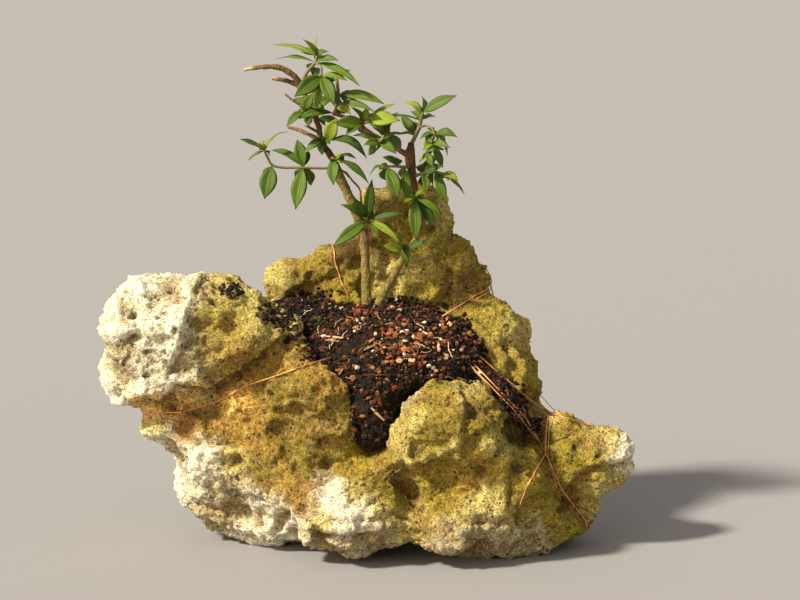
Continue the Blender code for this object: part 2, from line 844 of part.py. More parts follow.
def seat_point(tree, point):
    """A route point moved onto the surface that the wire lies on, just clear of it."""
    eye = front_eye()[0] * MM
    if len(point) == 2:
        seen = place(point[0], point[1], 0)
        hit, normal, _, _ = tree.ray_cast(eye, (seen - eye).normalized())
    else:
        hit, normal, _, _ = tree.find_nearest(place(*point))
    return hit + normal * (WIRE_RADIUS + GAP) * MM


def clearance(tree, point):
    """How far a point is outside the surface, with the nearest place on it and the way out."""
    hit, normal, _, distance = tree.find_nearest(point)
    if (point - hit).dot(normal) < 0:
        distance = -distance
    return distance, hit, normal


def lay(tree, start, end, bends):
    """The points after start of a wire pulled straight to end, bent over whatever is in its way."""
    shares = [step / 8 for step in range(1, 8)]
    found = [clearance(tree, start.lerp(end, share)) for share in shares]
    distance, hit, normal = min(found, key=lambda entry: entry[0])
    if bends == 0 or distance > (WIRE_RADIUS + GAP / 2) * MM:
        return [end]
    middle = hit + normal * (WIRE_RADIUS + GAP) * MM
    return lay(tree, start, middle, bends - 1) + lay(tree, middle, end, bends - 1)


def make_wire(name, route, tree, parts):
    """A wire pulled straight from point to point of its route, and bent over the rock in its way."""
    knots = [seat_point(tree, point) for point in route]
    points = [knots[0]]
    for start, end in zip(knots, knots[1:]):
        points += lay(tree, start, end, WIRE_BENDS)
    return tube(name, points, [WIRE_RADIUS] * len(points), TWIG_ROUNDING, parts)


def main():
    clear_scene()
    parts = new_collection("root_over_rock_bonsai")
    cutters = new_collection("cutters")
    stone = material("limestone", ROCK_COLOUR, 0.9)
    mix = material("planting_mix", SOIL_COLOUR, 0.95)
    bark = material("bark", BARK_COLOUR, 0.8)
    green = material("leaf", LEAF_COLOUR, 0.5)
    copper = material("copper", COPPER_COLOUR, 0.35, 1.0)

    soil = make_soil(parts)
    rock = make_rock(parts, cutters, soil)
    wires = surface_tree([soil, rock])

    stems = {
        "trunk_main": (MAIN_STEM, [LONG_STUB, SHORT_STUB, PINK_TWIG, LEFT_SPUR, HANGING_TWIG]),
        "trunk_right": (RIGHT_STEM, [LONG_BRANCH]),
    }
    around = {}
    for name, (stem, branches) in stems.items():
        paint(make_stem(name, stem, branches, parts), bark)
        around[name] = make_stem(name + "_clearance", stem, branches, cutters, GAP)
        cut(soil, around[name])
    for spray in SPRAYS:
        paint(make_spray(spray, around[spray.stem], parts), green)
    for name, route in WIRE_ROUTES.items():
        paint(make_wire(name, route, wires, parts), copper)
    for thicker in around.values():
        hide_as_cutter(thicker)
    paint(soil, mix)
    paint(rock, stone)


main()
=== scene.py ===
"""The bonsai on its rock as the picture shows it: fine stone, planting mix, bark, leaves and wire laid
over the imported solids.

Sizes are in millimetres unless a line says metres. The layout is given as the front view shows it:
a point's across and up in that view, and its depth, back, which is negative towards the front.
"""

import math
import random
from collections import namedtuple
from itertools import accumulate

import bmesh
import bpy
from mathutils import Matrix, Vector, noise
from mathutils.bvhtree import BVHTree


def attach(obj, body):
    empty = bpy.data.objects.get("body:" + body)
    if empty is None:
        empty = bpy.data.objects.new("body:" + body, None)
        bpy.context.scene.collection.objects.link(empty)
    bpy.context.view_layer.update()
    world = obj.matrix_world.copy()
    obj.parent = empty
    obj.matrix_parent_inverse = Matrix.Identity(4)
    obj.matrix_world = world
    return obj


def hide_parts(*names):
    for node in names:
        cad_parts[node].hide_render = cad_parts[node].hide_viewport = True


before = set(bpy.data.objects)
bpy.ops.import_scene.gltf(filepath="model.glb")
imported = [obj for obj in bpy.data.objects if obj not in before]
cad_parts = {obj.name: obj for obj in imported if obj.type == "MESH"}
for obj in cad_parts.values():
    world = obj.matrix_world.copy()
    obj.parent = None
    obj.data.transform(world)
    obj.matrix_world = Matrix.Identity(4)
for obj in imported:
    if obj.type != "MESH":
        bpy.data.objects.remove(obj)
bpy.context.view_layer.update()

# The rock: one natural lump of weathered, porous limestone, with a pocket for the soil on top.
# Its broad form is the solid's; the knobs, pits and pores are laid on it here, and its colours are
# painted on in patches: cream where it is bare, olive and ochre where it stays damp, rust in the folds.
# Some of the paint is painted light: painted shade in hollows, holes, pores and small folds, painted
# highlights on crests and crumbs, and a painted glow of bounced light under the head's ledge.

MM = 0.001

# Where the picture was taken from: how far the line of sight tips down, how far off the camera stood,
# and the middle of what it shows, as (across, up).
SIGHT_TILT = math.radians(9)
SIGHT_DISTANCE = 1400
SIGHT_CENTRE = (21.4, 151.8)
VIEW_UP = Vector((0, math.sin(SIGHT_TILT), math.cos(SIGHT_TILT)))
VIEW_AHEAD = Vector((0, math.cos(SIGHT_TILT), -math.sin(SIGHT_TILT)))
EYE = Vector((SIGHT_CENTRE[0], 0, 0)) + VIEW_UP * SIGHT_CENTRE[1] - VIEW_AHEAD * SIGHT_DISTANCE

CREAM = (0.98, 0.93, 0.70)
PALE = (0.61, 0.49, 0.145)
OLIVE = (0.31, 0.225, 0.012)
DEEP_OLIVE = (0.21, 0.145, 0.010)
OCHRE = (0.40, 0.215, 0.030)
RUST = (0.40, 0.17, 0.030)
UMBER = (0.16, 0.085, 0.022)
ASHEN = (0.50, 0.42, 0.26)
GOLD = (0.98, 0.56, 0.13)
PEAT = (0.115, 0.055, 0.025)
# Painted shade for the stone's small folds and for its pores.
CREVICE_SHADE = (0.11, 0.062, 0.016)
PORE_SHADE = (0.055, 0.032, 0.009)

# Patches of colour on the stone: across, up, how far each reaches, and its colour. Most are the stone's
# own colour; the gold spots under the head's ledge also paint a glow of light bounced up from below, a
# few umber spots paint shade in recesses, and pale spots along the boulder's ridge paint a highlight.
STONE_PATCHES = [
    (-160, 130, 30, CREAM),
    (-140, 155, 26, CREAM),
    (-135, 115, 28, CREAM),
    (-116, 158, 14, CREAM),
    (-100, 156, 12, PALE),
    (-98, 138, 14, OLIVE),
    (-84, 138, 12, OLIVE),
    (-102, 118, 12, DEEP_OLIVE),
    (-92, 110, 8, PALE),
    (-75, 142, 14, PALE),
    (-62, 134, 12, PALE),
    (-80, 118, 12, OCHRE),
    (-58, 116, 12, OCHRE),
    (-85, 106, 12, RUST),
    (-126, 102, 8, CREAM),
    # Gold under the head's ledge: rust made brighter than its own colour, a painted glow of bounced light.
    (-145, 87, 5, GOLD),
    (-134, 86, 8, GOLD),
    (-123, 87, 9, GOLD),
    (-112, 92, 8, GOLD),
    (-101, 90, 5, PALE),
    (-107, 82, 4, UMBER),
    (-96, 84, 5, UMBER),
    # Painted shade in the shadow under the ledge.
    (-90, 97, 5, UMBER),
    (-74, 108, 8, OCHRE),
    # Painted glow of bounced light in the shadow under the ledge.
    (-80, 88, 12, GOLD),
    (-114, 72, 9, RUST),
    (-96, 70, 9, OCHRE),
    (-132, 72, 7, PALE),
    (-130, 62, 9, CREAM),
    (-100, 56, 9, CREAM),
    (-55, 96, 16, DEEP_OLIVE),
    (-40, 84, 12, DEEP_OLIVE),
    (-66, 78, 10, OCHRE),
    (-30, 100, 14, OCHRE),
    (-25, 76, 16, DEEP_OLIVE),
    (-76, 73, 10, OCHRE),
    (-63, 58, 8, OCHRE),
    (-54, 70, 14, DEEP_OLIVE),
    (-84, 50, 10, PALE),
    (-64, 46, 10, DEEP_OLIVE),
    (-110, 44, 16, CREAM),
    (-90, 25, 18, ASHEN),
    (-68, 12, 16, CREAM),
    (-54, 36, 9, OCHRE),
    (-38, 28, 9, RUST),
    (-36, 50, 10, DEEP_OLIVE),
    (-44, 62, 10, DEEP_OLIVE),
    (-24, 28, 11, CREAM),
    (-8, 32, 7, PALE),
    (-6, 16, 11, CREAM),
    (8, 20, 7, PALE),
    (-26, 16, 6, PALE),
    (4, -4, 12, ASHEN),
    (-4, 44, 12, OLIVE),
    (22, 34, 12, OLIVE),
    (30, 12, 10, PALE),
    (42, 92, 14, OLIVE),
    (26, 78, 9, PALE),
    (50, 72, 10, DEEP_OLIVE),
    # Painted highlight along the boulder's ridge.
    (24, 49, 4, PALE),
    (35, 51, 4, PALE),
    (46, 55, 4, PALE),
    (56, 62, 4, PALE),
    # Painted shade in the recess below the ridge and in the valley at its foot.
    (28, 34, 5, UMBER),
    (33, 22, 4, UMBER),
    # Painted shade in the recess beside the boulder's top.
    (66, 84, 7, UMBER),
    (52, 84, 8, OCHRE),
    (27, 92, 5, CREAM),
    (62, 96, 9, PALE),
    (28, 58, 6, PALE),
    (66, 100, 7, PALE),
    (72, 78, 12, OLIVE),
    (40, 50, 10, OLIVE),
    (62, 42, 14, OCHRE),
    (46, 30, 12, OLIVE),
    (60, 48, 10, OLIVE),
    (34, 18, 6, PALE),
    (66, 22, 9, PALE),
    (80, 24, 12, PALE),
    (92, 46, 12, OLIVE),
    (84, 60, 9, PALE),
    (100, 22, 12, OLIVE),
    (96, 66, 6, PEAT),
    (110, 40, 12, OLIVE),
    (126, 26, 5, RUST),
    (122, 12, 9, OLIVE),
    (104, 6, 10, ASHEN),
    (76, 12, 10, ASHEN),
    (50, 2, 10, ASHEN),
    (124, 62, 12, OLIVE),
    (136, 62, 10, OLIVE),
    (144, 70, 8, PALE),
    (142, 46, 12, OLIVE),
    (152, 56, 7, PALE),
    (162, 50, 9, CREAM),
    (158, 38, 8, PALE),
    (146, 32, 8, PALE),
    (112, 76, 8, PALE),
    (98, 106, 10, OLIVE),
    (80, 104, 6, PEAT),
    (86, 93, 7, PEAT),
    (96, 82, 8, PEAT),
    (106, 73, 7, PEAT),
    (112, 66, 5, PEAT),
    (96, 130, 14, PALE),
    (84, 116, 12, OLIVE),
    (78, 146, 14, OLIVE),
    (58, 160, 12, UMBER),
    (62, 186, 12, OLIVE),
    (46, 178, 14, OLIVE),
    (50, 208, 12, PALE),
    (30, 214, 14, OLIVE),
    (8, 212, 9, PALE),
    (24, 190, 12, OLIVE),
    (12, 170, 9, PALE),
    (36, 172, 7, PALE),
    (46, 190, 8, OLIVE),
    (44, 160, 9, OLIVE),
    (-12, 184, 12, UMBER),
    (-14, 166, 12, OLIVE),
    (-34, 170, 12, OLIVE),
    (-40, 160, 10, UMBER),
    (-58, 168, 9, PALE),
]

# Deep holes in the stone: across, up, how wide and how deep. Each is also painted dark brown inside,
# as painted shade.
STONE_HOLES = [
    (-82, 51, 3.2, 6),
    (-60, 92, 2.0, 3),
    (-28, 62, 1.8, 3),
    (-46, 73, 1.8, 3),
    (-106, 62, 2.0, 3),
    (-96, 150, 2.2, 4),
    (-120, 132, 1.8, 3),
    (-147, 142, 2.2, 5),
    (-147, 137, 2.0, 5),
    (-141, 155, 2.0, 4),
    (-138, 104, 1.6, 4),
    (-126, 112, 1.5, 3),
    (-138, 118, 1.8, 3),
    (-152, 112, 1.6, 3),
    (-28, 4, 5.0, 6),
    (-40, 23, 3.4, 4),
    (11, 43, 2.0, 3),
    (32, 57, 4.2, 6),
    (68, 81, 4.5, 4),
    (72, 44, 3.2, 4),
    (56, 39, 1.5, 3),
    (96, 46, 3.5, 6),
    (44, 33, 1.6, 3),
    (-24, 48, 3.0, 4),
    (132, 58, 2.0, 3),
    (146, 52, 1.8, 3),
    (40, 196, 2.6, 4),
    (26, 206, 2.2, 4),
    (34, 166, 2.4, 4),
    (-16, 176, 2.4, 4),
    (-36, 166, 2.2, 4),
    (72, 150, 2.2, 4),
    (88, 134, 2.2, 4),
]

# Creases in the stone, each a line of (across, up) in the front view, with how far the stone comes out
# on the left of that line and on its right, and how far both reach.
STONE_CREASES = [
    ([(-154, 86), (-140, 92), (-131, 91), (-124, 93), (-119, 97), (-112, 99), (-100, 98)], 3, -3, 7),
    ([(-100, 98), (-92, 101), (-83, 107), (-75, 113), (-58, 125)], 4, -5, 8),
    ([(-104, 90), (-98, 90)], 2, 2, 4),
    ([(-113, 82), (-104, 81)], -3, -3, 3),
    ([(-124, 108), (-117, 124), (-113, 140), (-112, 150), (-107, 160)], 1.5, -2.5, 13),
    ([(-150, 128), (-140, 138), (-136, 150), (-140, 160)], 1.5, -2, 6),
    ([(-174, 124), (-160, 121), (-147, 126)], -4, -3, 5),
    ([(-126, 176), (-124, 164), (-120, 152)], -3, -2, 5),
    ([(-176, 148), (-166, 146), (-156, 150)], -2, -2, 4),
    ([(-104, 118), (-94, 122), (-84, 126), (-70, 128)], 1.5, -1.5, 6),
    ([(-132, 70), (-110, 62), (-88, 57), (-70, 60)], -1, 2, 6),
    ([(-50, 12), (-45, 24), (-32, 33), (-18, 40), (0, 42), (16, 36), (24, 30)], -4, 2.5, 7),
    ([(-42, 8), (-24, 4), (-6, 3), (12, 6)], 1.5, -2, 4),
    ([(-34, 18), (-16, 13), (4, 14), (16, 18)], 1, -1.5, 4),
    ([(20, 46), (24, 36), (30, 26), (36, 16), (38, 4)], -4, -4, 5),
    ([(20, 48), (32, 47), (45, 51), (62, 62), (70, 68)], 2.4, -2.4, 5),
    ([(18, 92), (30, 97), (44, 99), (58, 97)], 0.5, -2, 5),
    ([(88, 64), (90, 48), (89, 26)], -3.5, 2, 5),
    ([(38, 22), (45, 27), (58, 29)], -1, 1.5, 6),
    ([(66, 42), (78, 46), (90, 50)], 6, 6, 13),
    ([(60, 62), (62, 75), (63, 88), (60, 96)], 1.5, -3.5, 7),
    ([(96, 56), (96, 48), (98, 38)], -3, -3, 3.5),
    ([(44, 12), (62, 15), (84, 14), (104, 16)], 1.5, -1.5, 5),
    ([(52, 148), (56, 165), (59, 182), (56, 196), (46, 212)], -3, 2.5, 7),
    ([(-46, 158), (-30, 166), (-12, 172), (2, 186)], 1.5, -2.5, 6),
    ([(94, 96), (98, 112), (90, 126), (78, 136)], -2, 2, 7),
    ([(122, 24), (130, 36), (142, 46), (160, 50)], 2, -3, 6),
]

# How fine the stone's skin is, and the seed that gives every run the same noise, and so the same stone.
STONE_GRAIN = 1.68
STONE_SEED = 8

# About how far the stone's relief stands out on average, which is taken off it again.
RELIEF_MEAN = 3.8


def place(across, up, back):
    """The point in space, in metres, that the front view shows at (across, up), at the depth back."""
    line = Vector((across, 0, 0)) + VIEW_UP * up - EYE
    return (EYE + line * ((back - EYE.y) / line.y)) * MM


def seen_at(point):
    """Where the front view shows a point in space, as (across, up)."""
    line = point / MM - EYE
    spot = EYE + line * (-EYE.dot(VIEW_AHEAD) / line.dot(VIEW_AHEAD))
    return spot.x, spot.dot(VIEW_UP)


def new_piece(name, data):
    """A mesh, a light or a camera as an object in the scene."""
    piece = bpy.data.objects.new(name, data)
    bpy.context.scene.collection.objects.link(piece)
    return piece


def clipped(value):
    """A number held between 0 and 1."""
    return min(1, max(0, value))


def settle(piece):
    """The mesh that a piece's modifiers make takes the place of its own."""
    graph = bpy.context.evaluated_depsgraph_get()
    mesh = bpy.data.meshes.new_from_object(piece.evaluated_get(graph))
    piece.modifiers.clear()
    piece.data = mesh


def refine(piece, grain, rounds):
    """An even, fine skin over a faceted form, with its corners worn off."""
    skin = piece.modifiers.new("Skin", "REMESH")
    skin.mode = "VOXEL"
    skin.voxel_size = grain * MM
    worn = piece.modifiers.new("Worn", "SMOOTH")
    worn.factor = 0.5
    worn.iterations = rounds
    settle(piece)


def rise(piece, height):
    """Each point moves out along its normal by height(point in millimetres, normal)."""
    moved = []
    for vertex in piece.data.vertices:
        moved.append(vertex.co + vertex.normal * height(vertex.co / MM, vertex.normal) * MM)
    for vertex, place_now in zip(piece.data.vertices, moved):
        vertex.co = place_now


def colour_points(piece, name, colours):
    """Paints a piece's points, under the name by which its material finds the colours."""
    layer = piece.data.color_attributes.new(name, "FLOAT_COLOR", "POINT")
    layer.data.foreach_set("color", [value for colour in colours for value in (*colour, 1)])


def crease_height(point, normal):
    """What the creases add to the stone where it faces the front view, in millimetres."""
    # Up to 1 where the stone faces the view, and below 0 where it looks away.
    facing = normal.dot((EYE - point).normalized()) * 3 + 0.5
    if facing < 0:
        return 0
    spot = complex(*seen_at(point * MM))
    total = 0
    for line, left, right, reach in STONE_CREASES:
        nearest = 3 * reach
        side = 0
        for start, end in zip(line, line[1:]):
            start = complex(*start)
            way = complex(*end) - start
            off = (spot - start) / way
            gap = abs(spot - start - way * min(1, max(0, off.real)))
            if gap < nearest:
                nearest = gap
                side = left if off.imag > 0 else right
        # Within two millimetres of the line its sides run into each other.
        clear = min(1, nearest / 2)
        total += (side * clear + (left + right) / 2 * (1 - clear)) * math.exp(-((nearest / reach) ** 2))
    return total * min(1, facing)


def faces_back(normal):
    """How far a side of the stone looks to the back, from 0 at the front and the ends to 1."""
    return clipped(normal.y * 1.6 - 0.3)


def cell_depth(point):
    """How far a point is from the nearest of many scattered ones, as a share of their spacing."""
    return noise.voronoi(point)[0][0]


def stone_height(point, normal):
    """Crags with ledges, scallops with sharp rims, crumbs, worn pits and, behind, hollows, in millimetres.

    What a point is divided by is the size of the forms, and what the noise is multiplied by their height.
    """
    warp = point + noise.noise_vector(point / 7) * 4
    patchy = noise.noise(point / 20) * 0.7 + 0.45
    crags = noise.ridged_multi_fractal(warp / 34, 0.9, 2.2, 3, 1.0, 2.0) * 3.2 - 3.2
    crags += noise.fractal(point / 19, 0.7, 2.1, 4) * 2.0
    layer = (point.z + warp.x * 0.22 + noise.noise(point / 13) * 9) / 15
    ledges = (layer - math.floor(layer)) ** 2 * 3.0 * max(0, 1 - patchy)
    scallops = cell_depth(warp / 12) * 3.4 + cell_depth(warp / 5) * 1.4
    crumbs = noise.fractal(point / 2.8, 0.8, 2.1, 2) * 1.3
    pits = max(0, 0.34 - cell_depth(warp / 8)) * 8 * max(0, patchy)
    hollows = noise.fractal(warp / 26, 0.7, 2.1, 3) * 6 - cell_depth(warp / 24) * 5 + 1
    hollows *= faces_back(normal)
    return crags + ledges + scallops + crumbs - pits - RELIEF_MEAN + hollows + crease_height(point, normal)


def blended(patches, across, up, fall):
    """The colour at (across, up), blended from the nearest patches: the greater fall, the sharper."""
    total = 0
    mixed = Vector((0, 0, 0))
    for patch_across, patch_up, reach, colour in patches:
        off = ((across - patch_across) ** 2 + (up - patch_up) ** 2) / reach**2
        weight = math.exp(-fall * off) + 0.0001 / (1 + off)
        mixed += Vector(colour) * weight
        total += weight
    return mixed / total


def stone_colour(point):
    """The colour of the patches at a point, with their borders made ragged."""
    across, up = seen_at(point)
    stray = noise.noise_vector(point / MM / 11) * 5
    return blended(STONE_PATCHES, across + stray.x, up + stray.y, 1.6)


def bleached(point, normal):
    """How far the back of the stone is bleached at a point, in patches, from 0 to 1."""
    return clipped(noise.noise(point / MM / 24) * 4 - 0.3) * faces_back(normal)


def front_hit(skin, across, up):
    """The place on a surface that the front view shows at (across, up), with its normal."""
    toward = (place(across, up, 0) - EYE * MM).normalized()
    hit, normal, _, _ = skin.ray_cast(EYE * MM, toward)
    return hit, normal


def skin_of(*pieces):
    """The surfaces of several pieces, to be searched as one."""
    corners = []
    faces = []
    for piece in pieces:
        first = len(corners)
        corners += [vertex.co.copy() for vertex in piece.data.vertices]
        faces += [[first + index for index in face.vertices] for face in piece.data.polygons]
    return BVHTree.FromPolygons(corners, faces)


noise.seed_set(STONE_SEED)
rock = new_piece("rock_stone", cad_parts["rock"].data.copy())
refine(rock, STONE_GRAIN, rounds=8)
smooth_rock = [vertex.co.copy() for vertex in rock.data.vertices]
rise(rock, stone_height)
rock_skin = skin_of(rock)
holes = []
for across, up, width, depth in STONE_HOLES:
    hit, normal = front_hit(rock_skin, across, up)
    if hit is not None:
        holes.append((hit, normal, width, depth))

# Where the relief sank the stone it is darkened toward ochre and umber, as painted shade, and where it
# stands out it is made lighter, as a painted highlight. The holes are dug here and painted dark inside,
# as painted shade.
colours = []
for vertex, before in zip(rock.data.vertices, smooth_rock):
    sunk = (before - vertex.co).dot(vertex.normal) / MM
    colour = stone_colour(vertex.co)
    colour = colour.lerp(Vector(CREAM) * 0.8, bleached(vertex.co, vertex.normal) * 0.7)
    hole_shade = 0
    for hit, normal, width, depth in holes:
        near = (vertex.co - hit).length / MM / width
        if near < 1.6:
            bowl = 1 - (near / 1.6) ** 2
            vertex.co -= normal * depth * bowl * MM
            hole_shade = max(hole_shade, bowl)
    colour = colour.lerp(Vector(OCHRE), clipped(sunk / 3) * 0.5)
    colour = colour.lerp(Vector(UMBER), clipped((sunk - 1.5) / 4) * 0.7)
    colour = colour.lerp(colour * 1.45, clipped((-sunk - 0.8) / 4))
    colour = colour.lerp(Vector(UMBER) * 0.6, hole_shade * 0.9)
    colours.append(colour)

# Nothing goes below the floor.
for vertex in rock.data.vertices:
    vertex.co.z = max(vertex.co.z, 0)
colour_points(rock, "stone", colours)
rock.data.shade_smooth()


class Signal:
    """One output of a material's nodes, so that what is done with it reads as plain sums."""

    def __init__(self, tree, socket):
        self.tree = tree
        self.socket = socket

    def node(self, kind, settings, sockets, output=0):
        """A new node: its settings are set first, then its sockets get values or links."""
        made = self.tree.nodes.new(kind)
        for name, value in settings.items():
            setattr(made, name, value)
        for name, value in sockets.items():
            if isinstance(value, Signal):
                self.tree.links.new(value.socket, made.inputs[name])
            else:
                made.inputs[name].default_value = value
        return Signal(self.tree, made.outputs[output])

    def maths(self, operation, *values):
        """The result of a sum on values."""
        return self.node("ShaderNodeMath", {"operation": operation}, dict(enumerate(values)))

    def __add__(self, other):
        return self.maths("ADD", self, other)

    def __radd__(self, other):
        return self.maths("ADD", other, self)

    def __sub__(self, other):
        return self.maths("SUBTRACT", self, other)

    def __rsub__(self, other):
        return self.maths("SUBTRACT", other, self)

    def __mul__(self, other):
        return self.maths("MULTIPLY", self, other)

    def __rmul__(self, other):
        return self.maths("MULTIPLY", other, self)

    def between(self, low, high):
        """0 up to low, 1 from high, and an even slope from one to the other."""
        return self.node("ShaderNodeMapRange", {}, {"Value": self, "From Min": low, "From Max": high})

    def mix(self, factor, first, second):
        """The first colour, turned by factor into the second: signals, or three numbers each."""
        settings = {"data_type": "RGBA", "clamp_factor": True}
        first, second = [side if isinstance(side, Signal) else (*side, 1) for side in (first, second)]
        return self.node("ShaderNodeMix", settings, {0: factor, 6: first, 7: second}, 2)

    def toward(self, other, factor):
        """This colour, turned by factor into another."""
        return self.mix(factor, self, other)

    def from_to(self, first, second):
        """A colour that goes from the first to the second as this signal goes from 0 to 1."""
        return self.mix(self, first, second)

    def share(self, name):
        """How much Red, Green or Blue there is in this colour."""
        return self.node("ShaderNodeSeparateColor", {}, {"Color": self}, name)

    def shaded(self, amount):
        """This colour, made darker or lighter by a number."""
        settings = {"operation": "SCALE"}
        return self.node("ShaderNodeVectorMath", settings, {0: self, "Scale": amount})

    def stretched(self, *sides):
        """This place with its three sides multiplied, so that forms laid out on it are pressed or drawn."""
        return self.node("ShaderNodeVectorMath", {"operation": "MULTIPLY"}, {0: self, 1: sides})

    def cloud(self, size, detail=4, rough=0.55, twist=0):
        """Soft noise with forms of a size in millimetres, at this place."""
        settings = {"noise_dimensions": "3D"}
        sockets = {"Vector": self, "Scale": 1 / (size * MM), "Detail": detail, "Roughness": rough}
        return self.node("ShaderNodeTexNoise", settings, {**sockets, "Distortion": twist})

    def cells(self, size, output="Distance"):
        """How far this place is from the nearest of many scattered points, or that point's own Color."""
        sockets = {"Vector": self, "Scale": 1 / (size * MM)}
        return self.node("ShaderNodeTexVoronoi", {"feature": "F1"}, sockets, output)


def start_material(name):
    """A new material, with the place on the piece as a signal to build from."""
    made = bpy.data.materials.new(name)
    made.use_nodes = True
    tree = made.node_tree
    origin = tree.nodes.new("ShaderNodeTexCoord")
    return made, Signal(tree, origin.outputs["Object"])


def finish_material(made, settings, height=None, relief=0):
    """Sets the shader's sockets, and gives it a relief of so many millimetres from height."""
    tree = made.node_tree
    shader = tree.nodes["Principled BSDF"]
    if height is not None:
        sockets = {"Height": height, "Distance": relief * MM, "Strength": 1.0}
        settings = {**settings, "Normal": height.node("ShaderNodeBump", {}, sockets)}
    for name, value in settings.items():
        if isinstance(value, Signal):
            tree.links.new(value.socket, shader.inputs[name])
        else:
            shader.inputs[name].default_value = value


def painted(spot, name):
    """The colours that were painted on a piece's points."""
    return spot.node("ShaderNodeAttribute", {"attribute_name": name}, {})


# The stone is mottled, crumbly and dusty, with grains of grit that each have a lightness and a hue of
# their own, and pores and worm holes that come in drifts. Paint with little blue in it is stained stone.
# Where the crumbly relief stands high the colour is made lighter, a painted highlight; where it lies low
# it is darkened, painted shade; and the pores and worm holes are painted dark inside, painted shade too.
limestone, spot = start_material("limestone")
mottle = spot.cloud(11, 5, 0.6)
crumble = spot.cloud(2.6, 6, 0.75)
dust = spot.cloud(0.9, 3, 0.7)
grit = spot.cells(1.15, "Color")
grit_light = grit.share("Red")
grit_hue = grit.share("Green")
speckle = grit_light.between(0.66, 0.84)
pores = (1 - spot.cells(3.8).between(0.14, 0.34)) * spot.cloud(9, 2).between(0.44, 0.58)
worm_holes = (1 - spot.cloud(2.4, 3, 0.6, 1.6).between(0.35, 0.42)) * spot.cloud(13, 3).between(0.34, 0.56)
hollow = pores.maths("MAXIMUM", pores, worm_holes)
bare = painted(spot, "stone")
stained = 1 - bare.share("Blue").between(0.15, 0.65)
# Lighter with the mottle and with the crumbly relief: in part a painted highlight on the raised crumbs.
tone = bare.shaded(0.3 + mottle * 0.5 + crumble * 0.95)
tone = tone.toward(RUST, spot.cloud(6, 5, 0.7).between(0.58, 0.76) * (0.1 + stained * 0.4))
tone = tone.toward(PALE, spot.cloud(5, 5, 0.75).between(0.48, 0.62) * 0.4)
tone = tone.toward(OLIVE, grit_hue.between(0.6, 1.0) * (0.2 + stained * 0.35))
# Painted highlight on the highest crumbs.
tone = tone.toward(bare.shaded(1.7), crumble.between(0.54, 0.70) * 0.6)
# Painted shade in the low folds between the crumbs.
tone = tone.toward(CREVICE_SHADE, (1 - crumble.between(0.30, 0.44)) * (0.3 + stained * 0.5))
# Pores and worm holes painted dark inside: painted shade.
tone = tone.toward(PORE_SHADE, hollow * (0.4 + stained * 0.5))
tone = tone.shaded(0.38 + grit_light * 0.8 + dust.between(0.42, 0.58) * 0.8 - speckle * 0.3)
stone_relief = crumble * 1.1 + grit_light * 0.4 + dust * 0.6 - hollow * 0.8
finish_material(limestone, {"Base Color": tone, "Roughness": 0.92}, stone_relief, relief=1.7)
rock.data.materials.clear()
rock.data.materials.append(limestone)
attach(rock, "root")
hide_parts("rock")

# The soil: a dark, damp planting mix that fills the pocket and runs down two clefts. Peat and bark
# crumbs make most of it, with pale pumice, orange fired clay and a few dry root fibres on top.

SOIL_DARK = (0.006, 0.004, 0.003)
SOIL_BROWN = (0.050, 0.021, 0.010)
CRUMB_COLOURS = [(0.007, 0.005, 0.004), (0.030, 0.015, 0.008), (0.085, 0.032, 0.014), (0.012, 0.008, 0.006)]
CLAY_COLOURS = [(0.27, 0.080, 0.022), (0.16, 0.045, 0.016), (0.34, 0.13, 0.04), (0.12, 0.035, 0.014)]
PUMICE_COLOURS = [(0.72, 0.58, 0.40), (0.55, 0.38, 0.24), (0.80, 0.72, 0.58), (0.45, 0.28, 0.16)]
FIBRE_COLOURS = [(0.60, 0.44, 0.24), (0.38, 0.22, 0.10), (0.20, 0.085, 0.035)]

# Patches of crumbs spilled on the stone: how many, the middle (across, up), how wide and how high.
SPILLS = [
    (60, -85, 158, 15, 10),
    (90, -58, 143, 24, 14),
    (40, -52, 137, 16, 12),
    (30, -38, 120, 12, 16),
    (40, -44, 130, 20, 12),
    (40, -32, 120, 18, 12),
    (20, -20, 110, 10, 12),
    (12, -11, 96, 5, 20),
    (14, -8, 74, 5, 20),
    (10, 14, 78, 5, 16),
    (24, 24, 96, 8, 14),
    (20, 40, 103, 24, 6),
    (16, 66, 103, 16, 8),
    (26, 72, 118, 10, 20),
    (24, 62, 138, 14, 8),
    (30, 40, 148, 26, 6),
    (24, 22, 152, 20, 5),
    (30, -30, 156, 40, 6),
    (60, 92, 90, 18, 26),
    (40, 106, 73, 14, 12),
]

# The same for the moss tuft and for the roots that hang in the right cleft, without a number.
MOSS_SPOT = (-30, 139, 9, 6)
CLEFT_SPOT = (94, 88, 26, 34)
MOSS_COLOURS = [(0.10, 0.13, 0.02), (0.17, 0.19, 0.03), (0.05, 0.07, 0.015)]

# Single pale slivers: from (across, up) to (across, up), and their half thickness.
CHIPS = [
    ((-9, 149), (-1, 141), 0.5),
    ((3, 84), (11, 76), 0.9),
    ((-18, 104), (-11, 114), 0.35),
    ((-26, 128), (-14, 127), 0.9),
]

SOIL_GRAIN = 1.5

soil = new_piece("soil_mix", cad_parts["soil"].data.copy())
refine(soil, SOIL_GRAIN, rounds=5)


def mix_height(point, normal):
    """The lumps and crumbs of the mix, in millimetres."""
    return noise.fractal(point / 6, 0.8, 2.2, 2) * 1.3 + noise.noise(point / 2.2) * 0.7 - 0.3


rise(soil, mix_height)
soil.data.shade_smooth()

# All that is left to chance is drawn from here, so that every run makes the same pieces.
chance = random.Random(11)
rock_skin = skin_of(rock)


